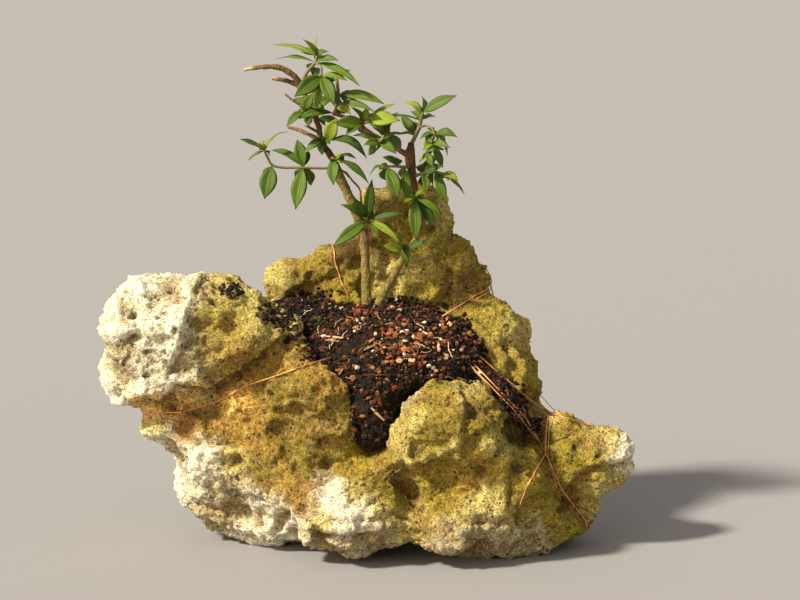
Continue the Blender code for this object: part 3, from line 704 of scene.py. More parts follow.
def open_spots():
    """Points of the soil that lie open, up or to the front, each with its normal and its surface."""
    to_the_air = Vector((0, -0.6, 0.8))
    spots = []
    for face in soil.data.polygons:
        normal = face.normal
        if normal.dot(to_the_air) < 0.25:
            continue
        probe = face.center + normal * 1.2 * MM
        hit, rock_normal, _, distance = rock_skin.find_nearest(probe)
        outside = (probe - hit).dot(rock_normal) > 0
        if outside and distance > 0.4 * MM:
            spots.append((face.center.copy(), normal.copy(), face.area))
    return spots


soil_spots = open_spots()
soil_areas = list(accumulate(area for _, _, area in soil_spots))


def scattered(count, keep):
    """So many open points of the soil, drawn at random and kept by keep(across, up)."""
    found = []
    while len(found) < count:
        point, normal, _ = chance.choices(soil_spots, cum_weights=soil_areas)[0]
        across, up = seen_at(point)
        if chance.random() < keep(across, up):
            found.append((point, normal))
    return found


def cast(name, shape):
    """A new piece of a finished shape, which is used up."""
    mesh = bpy.data.meshes.new(name)
    shape.to_mesh(mesh)
    shape.free()
    return new_piece(name, mesh)


def grains(name, places, low, high, colours):
    """Loose, angular grains pressed into the soil, from low to high across."""
    heap = bmesh.new()
    tint = heap.verts.layers.float_color.new("grain")
    for point, normal in places:
        size = chance.uniform(low, high)
        half = size / 2
        spin = Matrix.Rotation(chance.uniform(0, 6.28), 4, chance.choice("XYZ"))
        turn = normal.to_track_quat("Z", "Y").to_matrix().to_4x4() @ spin
        shape = (half, half * chance.uniform(0.5, 0.95), half * chance.uniform(0.35, 0.8))
        sink = point + normal * size * chance.uniform(0.1, 0.3) * MM
        matrix = Matrix.Translation(sink) @ turn @ Matrix.Diagonal((*(side * MM for side in shape), 1))
        made = bmesh.ops.create_icosphere(heap, subdivisions=1, radius=1, matrix=matrix)
        colour = Vector(chance.choice(colours)) * chance.uniform(0.75, 1.2)
        for vert in made["verts"]:
            vert.co += (vert.co - sink) * chance.uniform(-0.45, 0.4)
            vert[tint] = (*colour, 1)
    return cast(name, heap)


def in_middle(across, up):
    """Where the pale and orange grains lie thickest: the middle and the front of the pocket."""
    return math.exp(-(((across - 18) / 46) ** 2) - ((up - 122) / 20) ** 2) * 0.95 + 0.05


def everywhere(across, up):
    """No place is better than another."""
    return 1


def spun(knots, step):
    """A smooth row of (place, radius), in metres, through knots of a place in millimetres and a radius."""
    rows = [Vector((*knot[:3], knot[3])) * MM for knot in knots]
    rows = [rows[0] * 2 - rows[1]] + rows + [rows[-1] * 2 - rows[-2]]
    fine = []
    for before, start, end, after in zip(rows, rows[1:], rows[2:], rows[3:]):
        pieces = max(1, round((end - start).length / (step * MM)))
        for number in range(pieces):
            share = number / pieces
            pull = (end - before) * share
            sag = (2 * before - 5 * start + 4 * end - after) * share**2
            swing = (3 * start - before - 3 * end + after) * share**3
            bend = start + (pull + sag + swing) * 0.5
            fine.append((Vector(bend[:3]), bend[3]))
    fine.append((Vector(rows[-2][:3]), rows[-2][3]))
    return fine


def rod(mesh, rows, sides, tint=None, colour=None):
    """A closed round rod along rows of (place, radius), rounded at its ends, added to a mesh."""
    first, foot = rows[0]
    last, radius = rows[-1]
    along = (last - rows[-2][0]).normalized()
    rows = [(first, foot * 0.6)] + rows
    rows += [(last + along * radius * 0.35, radius * 0.7), (last + along * radius * 0.45, radius * 0.25)]
    forward = (rows[2][0] - rows[1][0]).normalized()
    across = forward.orthogonal().normalized()
    rings = []
    for number, (point, radius) in enumerate(rows):
        ahead = rows[min(number + 1, len(rows) - 1)][0]
        behind = rows[max(number - 1, 0)][0]
        forward = (ahead - behind).normalized()
        across = (across - forward * across.dot(forward)).normalized()
        beside = forward.cross(across)
        ring = []
        for side in range(sides):
            turn = 2 * math.pi * side / sides
            corner = mesh.verts.new(point + (across * math.cos(turn) + beside * math.sin(turn)) * radius)
            if tint is not None:
                corner[tint] = (*colour, 1)
            ring.append(corner)
        rings.append(ring)
    for near, far in zip(rings, rings[1:]):
        for side in range(sides):
            after = (side + 1) % sides
            mesh.faces.new((near[side], near[after], far[after], far[side]))
    mesh.faces.new(list(reversed(rings[0])))
    mesh.faces.new(rings[-1])


def spilled(count, across, up, wide, high):
    """So many places on the stone in an oval that the front view shows, wide by high."""
    found = []
    while len(found) < count:
        turn = chance.uniform(0, 6.28)
        far = chance.random() ** 0.7
        spot_across = across + math.cos(turn) * far * wide / 2
        spot_up = up + math.sin(turn) * far * high / 2
        hit, normal = front_hit(ground_skin, spot_across, spot_up)
        if hit is not None:
            found.append((hit, normal))
    return found


def laid_rod(mesh, tint, colour, start, heading, length, thick):
    """A bent fibre that lies on soil or stone from a start, thinner at both ends."""
    knots = []
    count = 6
    place_now = start
    for number in range(count):
        hit, normal, _, _ = ground_skin.find_nearest(place_now)
        on_top = hit + normal * (thick + chance.uniform(0.3, 1.6)) * MM
        swell = math.sin(math.pi * (number + 0.7) / (count + 0.4))
        knots.append((*(on_top / MM), thick * (0.5 + 0.5 * swell)))
        heading = (heading + Vector([chance.uniform(-0.35, 0.35) for _ in range(3)])).normalized()
        place_now = place_now + heading * length / (count - 1) * MM
    rod(mesh, spun(knots, step=1.2), sides=6, tint=tint, colour=colour)


planting_mix, spot = start_material("planting_mix")
damp = spot.cloud(4, 5, 0.7)
crumb = spot.cloud(1.3, 4, 0.6)
speck = 1 - spot.cells(1.6).between(0.2, 0.5)
mix_tone = damp.between(0.42, 0.66).from_to(SOIL_DARK, SOIL_BROWN).shaded(0.4 + crumb * 1.2)
mix_finish = {"Base Color": mix_tone, "Roughness": 0.95 - damp * 0.2, "Specular IOR Level": 0.25}
finish_material(planting_mix, mix_finish, crumb + speck * 0.6, relief=1.6)
soil.data.materials.clear()
soil.data.materials.append(planting_mix)
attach(soil, "root")
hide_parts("soil")

grain_finish, spot = start_material("loose_grains")
grain_tone = painted(spot, "grain").shaded(0.7 + spot.cloud(0.9, 4, 0.6) * 0.6)
grain_look = {"Base Color": grain_tone, "Roughness": 0.85, "Specular IOR Level": 0.25}
finish_material(grain_finish, grain_look, spot.cloud(0.6, 3), relief=0.25)
ground_skin = skin_of(rock, soil)
crumb_places = scattered(1700, everywhere)
for patch in SPILLS:
    crumb_places += spilled(*patch)
heaps = [
    grains("dark_crumbs", crumb_places, low=1.4, high=4.0, colours=CRUMB_COLOURS),
    grains("clay_grains", scattered(400, in_middle), low=1.4, high=5.2, colours=CLAY_COLOURS),
    grains("pumice_grains", scattered(85, in_middle), low=2.2, high=5.2, colours=PUMICE_COLOURS),
    grains("pumice_dust", scattered(130, in_middle), low=0.7, high=1.5, colours=PUMICE_COLOURS),
    grains("moss_tuft", spilled(70, *MOSS_SPOT), low=0.8, high=1.8, colours=MOSS_COLOURS),
]
straws = bmesh.new()
straw_tint = straws.verts.layers.float_color.new("grain")
for start, _ in scattered(46, in_middle):
    heading = Vector((chance.uniform(-1, 1), chance.uniform(-1, 1), 0)).normalized()
    colour = Vector(chance.choice(FIBRE_COLOURS)) * chance.uniform(0.7, 1.2)
    length = chance.uniform(7, 17)
    laid_rod(straws, straw_tint, colour, start, heading, length, thick=chance.uniform(0.2, 0.42))
for start, _ in spilled(26, *CLEFT_SPOT):
    heading = Vector((chance.uniform(0, 1), chance.uniform(-0.5, 0.5), -1)).normalized()
    length = chance.uniform(8, 18)
    laid_rod(straws, straw_tint, FIBRE_COLOURS[2], start, heading, length, thick=0.22)
for here, there, thick in CHIPS:
    start, lift = front_hit(ground_skin, *here)
    end, _ = front_hit(ground_skin, *there)
    lift = lift * (thick + 0.6) * MM
    rows = [
        (start + lift, thick * 0.6 * MM),
        (start.lerp(end, 0.5) + lift, thick * MM),
        (end + lift, thick * 0.5 * MM),
    ]
    rod(straws, rows, sides=6, tint=straw_tint, colour=FIBRE_COLOURS[0])
heaps.append(cast("root_fibres", straws))
for heap in heaps:
    heap.data.materials.append(grain_finish)
    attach(heap, "root")

# The stems: two thin woody stems that stand in the soil, pale and mossy at the foot and red-brown
# above, with rings where old leaves grew, bare stubs of cut shoots, and a long side branch.

MAIN_STEM = [
    (0.5, 131, 33, 3.6), (0.6, 144, 33, 3.5), (0, 160, 33.5, 3.0), (-0.6, 180, 34.5, 2.7),
    (-1, 188, 35, 3.1), (-1.2, 194, 35, 2.7), (-3, 199, 34, 2.8), (-6, 206, 33, 3.0), (-9, 213, 32, 3.2),
    (-12.5, 221, 31, 2.9), (-16.4, 228.5, 30, 3.1), (-18.5, 235, 29.5, 2.5), (-21, 241, 29, 2.3),
    (-25.5, 247.5, 28, 2.0), (-28.5, 252, 27.5, 1.9), (-29.5, 259, 27, 1.9), (-31.5, 266, 27, 1.8),
    (-35, 274.7, 26.5, 1.7), (-39, 282, 26, 1.7), (-41, 287.5, 25.5, 1.8),
]
MAIN_BRANCHES = [
    [
        (-40.5, 286.5, 25.5, 1.7), (-44, 291.5, 25, 1.9), (-48.5, 295.3, 24, 1.9), (-53, 297.8, 23, 1.9),
        (-58, 298.8, 22, 1.7), (-66, 298.6, 21, 1.4), (-77, 296.8, 20, 1.1),
    ],
    [(-40, 285.5, 25.5, 1.6), (-45, 288, 27, 1.6), (-50.5, 290, 28.5, 1.5), (-59, 291.6, 31, 1.2)],
    [(-34.5, 273.5, 26.5, 0.9), (-41.5, 275, 24, 0.8), (-46.5, 277.8, 22, 0.8), (-51, 281.5, 20, 0.7)],
    [
        (-28.3, 251.5, 27.5, 1.3), (-33, 254.5, 30, 1.3), (-38, 257, 32, 1.3), (-43, 259.2, 34, 1.2),
        (-49, 260.5, 36, 1.0),
    ],
    [
        (-17, 233.5, 29.5, 0.9), (-13, 232, 26, 0.8), (-9, 227.5, 24, 0.7), (-4, 221.5, 23, 0.7),
        (-3, 214, 23, 0.7), (-1.2, 207.5, 24, 0.6),
    ],
]
RIGHT_STEM = [
    (8, 134, 30, 3.4), (8, 147, 30, 3.2), (10, 153.7, 29.5, 2.9), (12.5, 159, 29, 2.8),
    (15.5, 164, 28.5, 2.6), (19.5, 171, 27.5, 2.3), (23.3, 178, 26.5, 2.1), (27.2, 183.5, 26, 2.0),
    (30.7, 189.5, 25.5, 2.0), (33.5, 195, 25, 2.1), (35.5, 201, 24.5, 2.2), (35.8, 207, 24.5, 2.2),
    (34, 213, 24.5, 2.1), (31.5, 219, 24.5, 2.1), (29.8, 226, 24.5, 2.2), (29, 232, 24.5, 2.6),
    (28, 239, 24.5, 3.1), (27.8, 245, 24.5, 2.9), (28.3, 250.5, 24.5, 2.0),
]
RIGHT_BRANCHES = [
    [
        (27.5, 242, 24.5, 1.8), (22, 245.5, 23.5, 1.7), (17.6, 248, 22.5, 1.6), (12, 251.5, 22, 1.5),
        (5.7, 255, 21.5, 1.5), (1, 258, 21, 1.5), (-4, 261.5, 20.5, 1.7), (-10, 265.3, 20, 1.4),
        (-15, 267.5, 20, 1.3), (-20.8, 269.8, 20, 1.3),
    ],
]

BARK_MOSSY = (0.24, 0.20, 0.040)
BARK_GREY = (0.27, 0.20, 0.05)
BARK_TAN = (0.22, 0.125, 0.034)
BARK_RED = (0.17, 0.060, 0.020)
BARK_DARK = (0.080, 0.035, 0.015)
BARK_PINK = (0.40, 0.22, 0.11)
CUT_WOOD = (0.62, 0.46, 0.24)
FISSURE_EDGE = (0.44, 0.34, 0.12)
BARK_GRAIN = 0.42

# Patches of colour on the wood: across, up, how far each reaches, and its colour.
WOOD_PATCHES = [
    (0, 148, 8, BARK_MOSSY),
    (9, 146, 8, BARK_MOSSY),
    (0, 165, 12, BARK_GREY),
    (-1, 182, 8, BARK_GREY),
    (-1, 188, 2, BARK_DARK),
    (-1, 194, 4, BARK_TAN),
    (-8, 211, 10, BARK_GREY),
    (-15, 226, 6, BARK_GREY),
    (-17, 230, 3, BARK_MOSSY),
    (-20, 240, 5, BARK_DARK),
    (-27, 250, 6, BARK_RED),
    (-31, 264, 8, BARK_RED),
    (-36, 276, 6, BARK_RED),
    (-41, 287, 5, BARK_DARK),
    (-50, 295, 6, BARK_TAN),
    (-62, 298, 8, BARK_TAN),
    (-76, 297, 4, CUT_WOOD),
    (-52, 290, 5, BARK_DARK),
    (-59, 291.6, 3, CUT_WOOD),
    (-44, 277, 6, BARK_PINK),
    (-51, 281.5, 3, BARK_PINK),
    (-40, 258, 7, BARK_TAN),
    (-7, 224, 5, BARK_DARK),
    (-3, 213, 5, BARK_RED),
    (14, 162, 10, BARK_MOSSY),
    (25, 181, 9, BARK_GREY),
    (34, 200, 9, BARK_TAN),
    (31, 222, 8, BARK_RED),
    (29, 236, 5, BARK_DARK),
    (27.5, 242, 4, BARK_RED),
    (28, 250, 4, BARK_DARK),
    (20, 246, 5, BARK_TAN),
    (8, 254, 6, BARK_TAN),
    (-4, 261, 5, BARK_PINK),
    (-17, 268.5, 6, BARK_TAN),
]


def placed(knots):
    """The places in space, in millimetres, of knots that are given as the front view shows them."""
    return [(*(place(*knot[:3]) / MM), knot[3]) for knot in knots]


def bark_height(point, normal):
    """Fissures that run up the stem, and fine cross wrinkles."""
    drawn_out = Vector((point.x, point.y, point.z * 0.3))
    return noise.fractal(drawn_out / 1.1, 0.8, 2.1, 2) * 0.28 + noise.noise(point / 3) * 0.35


def stem(name, trunk, branches):
    """A stem with its branches grown together."""
    wood = bmesh.new()
    for knots in [trunk] + branches:
        rod(wood, spun(placed(knots), step=1.2), sides=14)
    piece = cast(name, wood)
    refine(piece, BARK_GRAIN, rounds=3)
    rise(piece, bark_height)
    colours = [blended(WOOD_PATCHES, *seen_at(vertex.co), 1.4) for vertex in piece.data.vertices]
    colour_points(piece, "bark", colours)
    piece.data.shade_smooth()
    return piece


bark, spot = start_material("bark")
streaks = spot.stretched(1, 1, 0.22).cloud(0.9, 5, 0.65)
rings = spot.stretched(0.2, 0.2, 1).cloud(1.5, 3, 0.6).between(0.54, 0.64)
blotches = spot.cloud(4, 4, 0.6)
bark_tone = painted(spot, "bark").shaded(0.45 + streaks * 0.7 + blotches * 0.4)
bark_tone = bark_tone.toward(FISSURE_EDGE, (1 - streaks.between(0.32, 0.46)) * 0.35)
bark_tone = bark_tone.toward(BARK_DARK, streaks.between(0.52, 0.64) * 0.65)
bark_tone = bark_tone.toward(BARK_RED, rings * 0.55)
bark_relief = streaks + blotches * 0.3 - rings * 0.4
finish_material(bark, {"Base Color": bark_tone, "Roughness": 0.8}, bark_relief, relief=0.9)
for name, trunk, branches in (
    ("trunk_main", MAIN_STEM, MAIN_BRANCHES),
    ("trunk_right", RIGHT_STEM, RIGHT_BRANCHES),
):
    wood = stem(name + "_wood", trunk, branches)
    wood.data.materials.append(bark)
    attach(wood, "root")
    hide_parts(name)

# The shoots: young green twigs with narrow, pointed leaves in pairs and whorls, folded a little along
# the midrib and arched. Old leaves are dark, and young ones yellow-green.

# A leaf: the number of the twig point it grows from, the place of its tip (across, up, back), its width,
# face in degrees (0 shows its broad side to the front, 90 turns it up to the sky), how far it arches,
# and its tone, from 0 for dark to 1 for yellow-green.
Leaf = namedtuple("Leaf", "at tip width face arch tone", defaults=(2, 0.5))

# A shoot: its twigs, as lists of (across, up, back, radius), and its leaves. Twig points are numbered
# on from one twig to the next.
Spray = namedtuple("Spray", "twigs leaves")

SPRAYS = {
    "spray_top": Spray(
        [
            [
                (-40.5, 287, 25.5, 1.2), (-38, 294, 24.5, 1.1), (-35, 298, 24, 1.1), (-32, 301.5, 24, 1),
                (-31, 305.5, 24, 0.8),
            ],
            [(-32, 301.5, 24, 0.8), (-28.5, 299, 21, 0.8), (-28, 293, 18, 0.8)],
        ],
        [
            Leaf(4, (-59, 312.5, 37), 6, 62, 2, 0.75),
            Leaf(4, (-40, 316, 18), 4, 40, 2, 0.8),
            Leaf(4, (-30, 317, 28), 3, 50, 2, 0.85),
            Leaf(4, (-24, 308.5, 18), 4, 40, 2, 0.45),
            Leaf(3, (-57, 304, 41), 5, 66, 2, 0.6),
            Leaf(5, (-17.5, 303, 14), 6, 50),
            Leaf(5, (-4, 287, 4), 7, 48, 3, 0.6),
            Leaf(7, (-45, 280, 4), 10.5, 5, 2, 0.45),
            Leaf(7, (-20, 274.5, 4), 9, 12, 2, 0.55),
            Leaf(2, (-31, 292, 52), 8, 30),
            Leaf(3, (-24, 304, 52), 7, 50),
            Leaf(7, (-12, 290, 8), 6, 50, 2, 0.7),
            Leaf(7, (-31, 272, 10), 7, 20, 2, 0.6),
        ],
    ),
    "spray_upper_left": Spray(
        [
            [(-34, 272.5, 26.5, 1), (-36.5, 272, 22.5, 0.9), (-38.5, 271, 19, 0.8)],
        ],
        [
            Leaf(2, (-33, 282.5, 15), 6.5, 15),
            Leaf(2, (-50, 260.5, 9), 6, 35),
            Leaf(1, (-25, 270.5, 11), 6, 55, 3),
            Leaf(2, (-46.5, 264.5, 26), 4, 60),
        ],
    ),
    "spray_bend": Spray(
        [
            [(-28, 250.5, 27.5, 1), (-25.5, 251, 23, 0.9), (-24, 251.5, 19, 0.8)],
        ],
        [
            Leaf(2, (-18.5, 266.5, 13), 9, 12, 2, 0.85),
            Leaf(2, (0.5, 240.5, 11), 8, 45, 8, 0.2),
            Leaf(1, (-39.5, 243.5, 19), 6, 50),
            Leaf(1, (-39.5, 261.5, 15), 4, 60),
            Leaf(1, (-36.5, 250, 15), 5, 40, 2, 0.2),
        ],
    ),
    "spray_elbow": Spray(
        [
            [(-21, 241.5, 29, 1), (-19.5, 241.2, 25, 0.8), (-18.6, 240.5, 21, 0.8)],
        ],
        [
            Leaf(2, (-6, 241, 17), 5, 62, 2.5, 0.2),
            Leaf(2, (1.5, 225, 10), 6.5, 48, 3, 0.35),
            Leaf(1, (-20.5, 224, 14), 8, 15, 2.5),
        ],
    ),
    "spray_left": Spray(
        [
            [
                (-19.5, 235.2, 29.5, 0.9), (-29, 234.8, 28, 0.8), (-39.5, 235.2, 26, 0.8),
                (-52, 235.2, 25, 0.8), (-59, 236.8, 24, 0.8), (-62, 241.5, 23.5, 0.8),
                (-64, 246, 23, 0.8),
            ],
        ],
        [
            Leaf(6, (-80, 253, 19), 6, 60, 1, 0.3),
            Leaf(6, (-74.5, 239.5, 33), 3, 50, 1),
            Leaf(6, (-67, 251, 22), 2.5, 20, 0.5, 0.95),
            Leaf(6, (-63, 253, 26), 2.5, 20, 0.5, 0.95),
            Leaf(6, (-49.5, 258.5, 29), 3, 60, 3, 0.8),
            Leaf(4, (-64, 215.5, 18), 11, 5, 1, 0.35),
            Leaf(2, (-44.5, 209, 18), 10, 10, 1, 0.55),
            Leaf(2, (-43.5, 253, 31), 8.5, 10, 1),
            Leaf(2, (-60, 246.5, 37), 6, 40, 4),
            Leaf(2, (-34, 224, 36), 7, 30),
        ],
    ),
    "spray_waist": Spray(
        [
            [(-1.5, 199, 34.5, 1.2), (0, 200.5, 29, 1.1), (1, 201.5, 25, 1)],
        ],
        [
            Leaf(2, (3.8, 228, 17), 7, 12, 1, 0.15),
            Leaf(2, (-21, 185.5, 14), 8, 12, 2, 0.45),
            Leaf(2, (25, 206.5, 18), 5, 35, 2, 0.2),
            Leaf(2, (21.5, 187.5, 10), 6, 40, 3, 0.8),
            Leaf(2, (-16.5, 212, 17), 6, 35, 3, 0.35),
            Leaf(2, (8, 190.5, 18), 4, 30),
            Leaf(1, (-9, 217.5, 15), 6, 25, 3, 0.3),
        ],
    ),
    "spray_back_left": Spray(
        [
            [(-30, 261, 27, 1.1), (-31, 266, 36, 1), (-33, 270, 47, 0.9)],
        ],
        [
            Leaf(2, (-47, 279, 62), 8, 40),
            Leaf(2, (-19, 281, 60), 8, 40),
            Leaf(2, (-37, 262, 67), 7, 30),
            Leaf(1, (-49, 267, 46), 7, 45),
            Leaf(1, (-14, 261, 46), 7, 45),
        ],
    ),
    "spray_branch_tip": Spray(
        [
            [
                (-20, 269.5, 20, 1.1), (-18.2, 275, 20.5, 1.1), (-17.4, 281, 21, 1.1),
                (-18.4, 290.5, 21.5, 1),
            ],
        ],
        [
            Leaf(3, (-9.5, 296, 33), 5, 50),
            Leaf(3, (-30.5, 288, 33), 5, 65),
            Leaf(2, (11.5, 275.5, 8), 8, 42, 3, 0.6),
            Leaf(1, (-9.5, 268.8, 9), 7, 20, 2, 0.95),
            Leaf(2, (-6, 278, 36), 7, 40),
            Leaf(1, (5, 271, 4), 6, 45, 3, 0.5),
            Leaf(0, (-44, 265.5, 12), 6, 40, 3, 0.3),
            Leaf(1, (-22.5, 283, 16), 5, 40, 2, 0.4),
        ],
    ),
    "spray_branch_mid": Spray(
        [
            [(-3.5, 261.3, 20.5, 1.2), (-1, 263.5, 17, 1.1), (1.5, 264, 14, 1)],
        ],
        [
            Leaf(1, (-20.5, 263.5, 6), 8.5, 8, 1, 0.7),
            Leaf(1, (1, 273.5, 16), 5, 15, 1, 0.9),
            Leaf(2, (21.5, 265, 7), 10, 25, 3, 0.85),
            Leaf(2, (18.5, 275.5, 20), 5, 50, 2, 0.8),
            Leaf(2, (35.5, 264.5, 18), 4, 60, 4, 0.35),
            Leaf(1, (-9.5, 273.5, 14), 4, 40),
            Leaf(1, (-13, 255, 8), 6, 35, 2, 0.3),
            Leaf(2, (10.5, 258.5, 9), 5, 25, 2, 0.6),
        ],
    ),
    "spray_branch_low": Spray(
        [
            [(8, 253.8, 21.7, 1.1), (8, 252, 17.5, 1), (8.5, 251, 14, 0.9)],
        ],
        [
            Leaf(2, (-1.5, 249.5, 6), 6, 25),
            Leaf(2, (19, 243.5, 7), 7, 30),
            Leaf(2, (24, 256.5, 11), 4, 50, 3),
            Leaf(1, (-8.5, 255.5, 24), 5, 45),
        ],
    ),
    "spray_branch_back": Spray(
        [
            [(13.5, 250.5, 22.2, 1.1), (13, 253, 26.5, 1), (12, 255, 30.5, 0.9)],
        ],
        [
            Leaf(2, (0, 268, 41), 8, 30),
            Leaf(2, (20, 271, 47), 7, 45),
            Leaf(2, (22, 247, 49), 8, 30),
            Leaf(1, (1, 243, 37), 7, 30),
        ],
    ),
    "spray_crown_right": Spray(
        [
            [
                (28.4, 249.5, 24.5, 1.3), (31, 255, 24, 1.3), (33.3, 260, 23.5, 1.3),
                (34.5, 265, 23, 1.2), (35.3, 269.5, 22.5, 1.1),
            ],
            [
                (33.3, 260, 23.5, 0.7), (37, 261.6, 20, 0.7), (41, 260.3, 17, 0.7), (43, 256, 15, 0.8),
                (41, 250.5, 14, 0.8), (38, 245, 14, 0.8),
            ],
        ],
        [
            Leaf(4, (57, 280.8, 16), 8, 30, 1.5, 0.5),
            Leaf(4, (24.5, 276.5, 25), 6, 45, 2, 0.95),
            Leaf(3, (44, 267, 37), 4, 50, 2, 0.8),
            Leaf(1, (22, 268.5, 33), 6.5, 20, 1),
            Leaf(8, (57.5, 254.5, 7), 6.5, 40, 3, 0.45),
            Leaf(8, (51.5, 242.5, 9), 4, 60, 2.5),
            Leaf(8, (34, 253.5, 8), 4, 50),
            Leaf(10, (50, 246.3, 11), 6, 62, 1, 0.9),
            Leaf(10, (41.5, 235.5, 7), 5, 15, 1, 0.65),
            Leaf(9, (48.5, 235, 18), 5, 15),
            Leaf(3, (29, 271, 50), 7, 35),
            Leaf(9, (36, 246, 4), 6, 20, 2, 0.9),
            Leaf(1, (19.5, 256, 19), 3, 50, 2, 0.7),
            Leaf(8, (37.5, 251, 9), 6, 30, 2, 0.6),
            Leaf(9, (53, 248, 2), 5, 30, 2, 0.5),
        ],
    ),
    "spray_right_flank": Spray(
        [
            [(29.2, 229.5, 24.5, 1.2), (36, 231.5, 22, 1), (43, 232.5, 19, 0.9), (48, 231.5, 17, 0.8)],
        ],
        [
            Leaf(1, (48.5, 236.5, 8), 7, 25, 1.5, 0.25),
            Leaf(1, (46, 243, 42), 7, 40),
            Leaf(3, (58, 227, 7), 6, 40, 1.5, 0.75),
            Leaf(3, (62.5, 218.5, 18), 4, 55, 1.5),
            Leaf(2, (50.5, 213.5, 12), 6.5, 15, 1),
            Leaf(1, (37.5, 219, 5), 6, 30),
            Leaf(3, (45.5, 221, 20), 5, 15, 2, 0.35),
        ],
    ),
    "spray_right_low": Spray(
        [
            [(31.8, 218, 24.5, 1.2), (31, 217, 20, 1.1), (30.5, 216, 16, 1)],
        ],
        [
            Leaf(2, (31.5, 190, 9), 9.5, 10, 1, 0.6),
            Leaf(2, (48.5, 201, 6), 6.5, 45, 4),
            Leaf(1, (43.5, 197.5, 14), 7.5, 20, 1, 0.15),
            Leaf(2, (24, 213.5, 5), 3.5, 40, 1, 0.8),
            Leaf(1, (23, 222, 14), 2.5, 40, 1, 0.8),
            Leaf(2, (36.5, 221.5, 10), 3, 40, 1, 0.7),
        ],
    ),
    "spray_inner": Spray(
        [
            [(28.3, 236.5, 24.5, 1.3), (24.5, 235.5, 20, 1.1), (19.5, 236, 17, 0.9), (13.5, 236, 15, 0.8)],
        ],
        [
            Leaf(3, (20.5, 215.5, 7), 9, 10, 1.5, 0.5),
            Leaf(1, (25.5, 214.5, 12), 7, 12, 1),
            Leaf(3, (2.5, 230, 14), 3.5, 60, 3),
            Leaf(2, (10.5, 242, 7), 6, 45, 2, 0.3),
        ],
    ),
    "spray_foot": Spray(
        [
            [(25, 181, 26.3, 1.1), (24, 182, 22, 0.9), (22.5, 182.5, 18.5, 0.8)],
        ],
        [
            Leaf(2, (10.5, 186, 12), 6, 25, 1, 1.0),
            Leaf(1, (39.5, 188.5, 11), 6, 40, 2, 0.2),
            Leaf(2, (25.5, 173.5, 14), 5, 25, 1),
        ],
    ),
}

LEAF_TONES = [(0.022, 0.050, 0.003), (0.048, 0.098, 0.004), (0.105, 0.165, 0.006), (0.26, 0.31, 0.020)]
TWIG_GREEN = (0.16, 0.17, 0.05)
TWIG_RED = (0.22, 0.10, 0.045)
RIB_GREEN = (0.30, 0.42, 0.10)
TIP_BROWN = (0.16, 0.10, 0.02)

# Half a leaf's width at the foot of its stalk, half its thickness at the midrib, the depth of its groove,
# how high its edges ripple, how steeply its halves rise from the midrib, and how much paler it is below.
LEAF_STALK = 0.42
LEAF_HALF_THICK = 0.16
LEAF_GROOVE = 0.12
LEAF_RIPPLE = 0.28
LEAF_FOLD = 0.26
LEAF_PALER_BELOW = 1.35

# Into how many strips a leaf is cut along its length, and how many lie side by side across it.
LEAF_ROWS = 14
LEAF_COLUMNS = 6


def leaf_tone(tone):
    """The green at a tone between 0 and 1."""
    at = min(2.999, max(0, tone * 3))
    low = int(at)
    return Vector(LEAF_TONES[low]).lerp(Vector(LEAF_TONES[low + 1]), at - low)


def leaf_width(along):
    """Half of a leaf's width at a share of its length, as a share of its greatest half."""
    blade = max(0, (along - 0.06) / 0.94)
    return math.sin(math.pi * blade**0.9) ** (0.72 + 0.33 * blade)


def leaf_blade(mesh, tint, ribs, root, leaf):
    """One leaf: two skins that meet at the margin, and a groove along the midrib."""
    tip = place(*leaf.tip)
    length = (tip - root).length
    axis = (tip - root).normalized()
    toward = (EYE * MM - root).normalized()
    shown = (toward - axis * toward.dot(axis)).normalized()
    sideways = axis.cross(shown)
    upward = sideways if sideways.z > 0 else -sideways
    turn = math.radians(leaf.face)
    normal = shown * math.cos(turn) + upward * math.sin(turn)
    side = axis.cross(normal)
    tone = leaf_tone(leaf.tone + chance.uniform(-0.07, 0.07))
    wave = chance.uniform(0, 6.28)
    curl = chance.uniform(-0.5, 0.8)
    skins = []
    for skin in (1, -1):
        grid = []
        for row in range(LEAF_ROWS + 1):
            along = row / LEAF_ROWS
            half = max(LEAF_STALK - 0.3 * along, leaf.width / 2 * leaf_width(along)) * MM
            line = []
            for column in range(LEAF_COLUMNS + 1):
                across = 2 * column / LEAF_COLUMNS - 1
                edge = abs(across)
                if skin == -1 and (edge == 1 or row in (0, LEAF_ROWS)):
                    line.append(skins[0][row][column])
                    continue
                bulge = leaf.arch * MM * 4 * along * (1 - along)
                fold = edge * half * LEAF_FOLD
                ripple = math.sin(along * 11 + wave + across) * edge * LEAF_RIPPLE * MM
                ripple *= math.sin(math.pi * along)
                droop = -curl * MM * along**3 * 1.2
                thick = skin * LEAF_HALF_THICK * MM * (1 - edge**3)
                groove = -LEAF_GROOVE * MM if skin == 1 and edge == 0 else 0
                lift = bulge + fold + ripple + droop + thick + groove
                corner = mesh.verts.new(root + axis * length * along + side * across * half + normal * lift)
                pale = 1 if skin == 1 else LEAF_PALER_BELOW
                corner[tint] = (*(tone * pale), 1)
                corner[ribs] = (across * 0.5 + 0.5, along, leaf.tone, 1)
                line.append(corner)
            grid.append(line)
        skins.append(grid)
    for grid, upper in zip(skins, (True, False)):
        for near, far in zip(grid, grid[1:]):
            for column in range(LEAF_COLUMNS):
                ring = [near[column], near[column + 1], far[column + 1], far[column]]
                if upper:
                    ring.reverse()
                mesh.faces.new(ring).material_index = 1


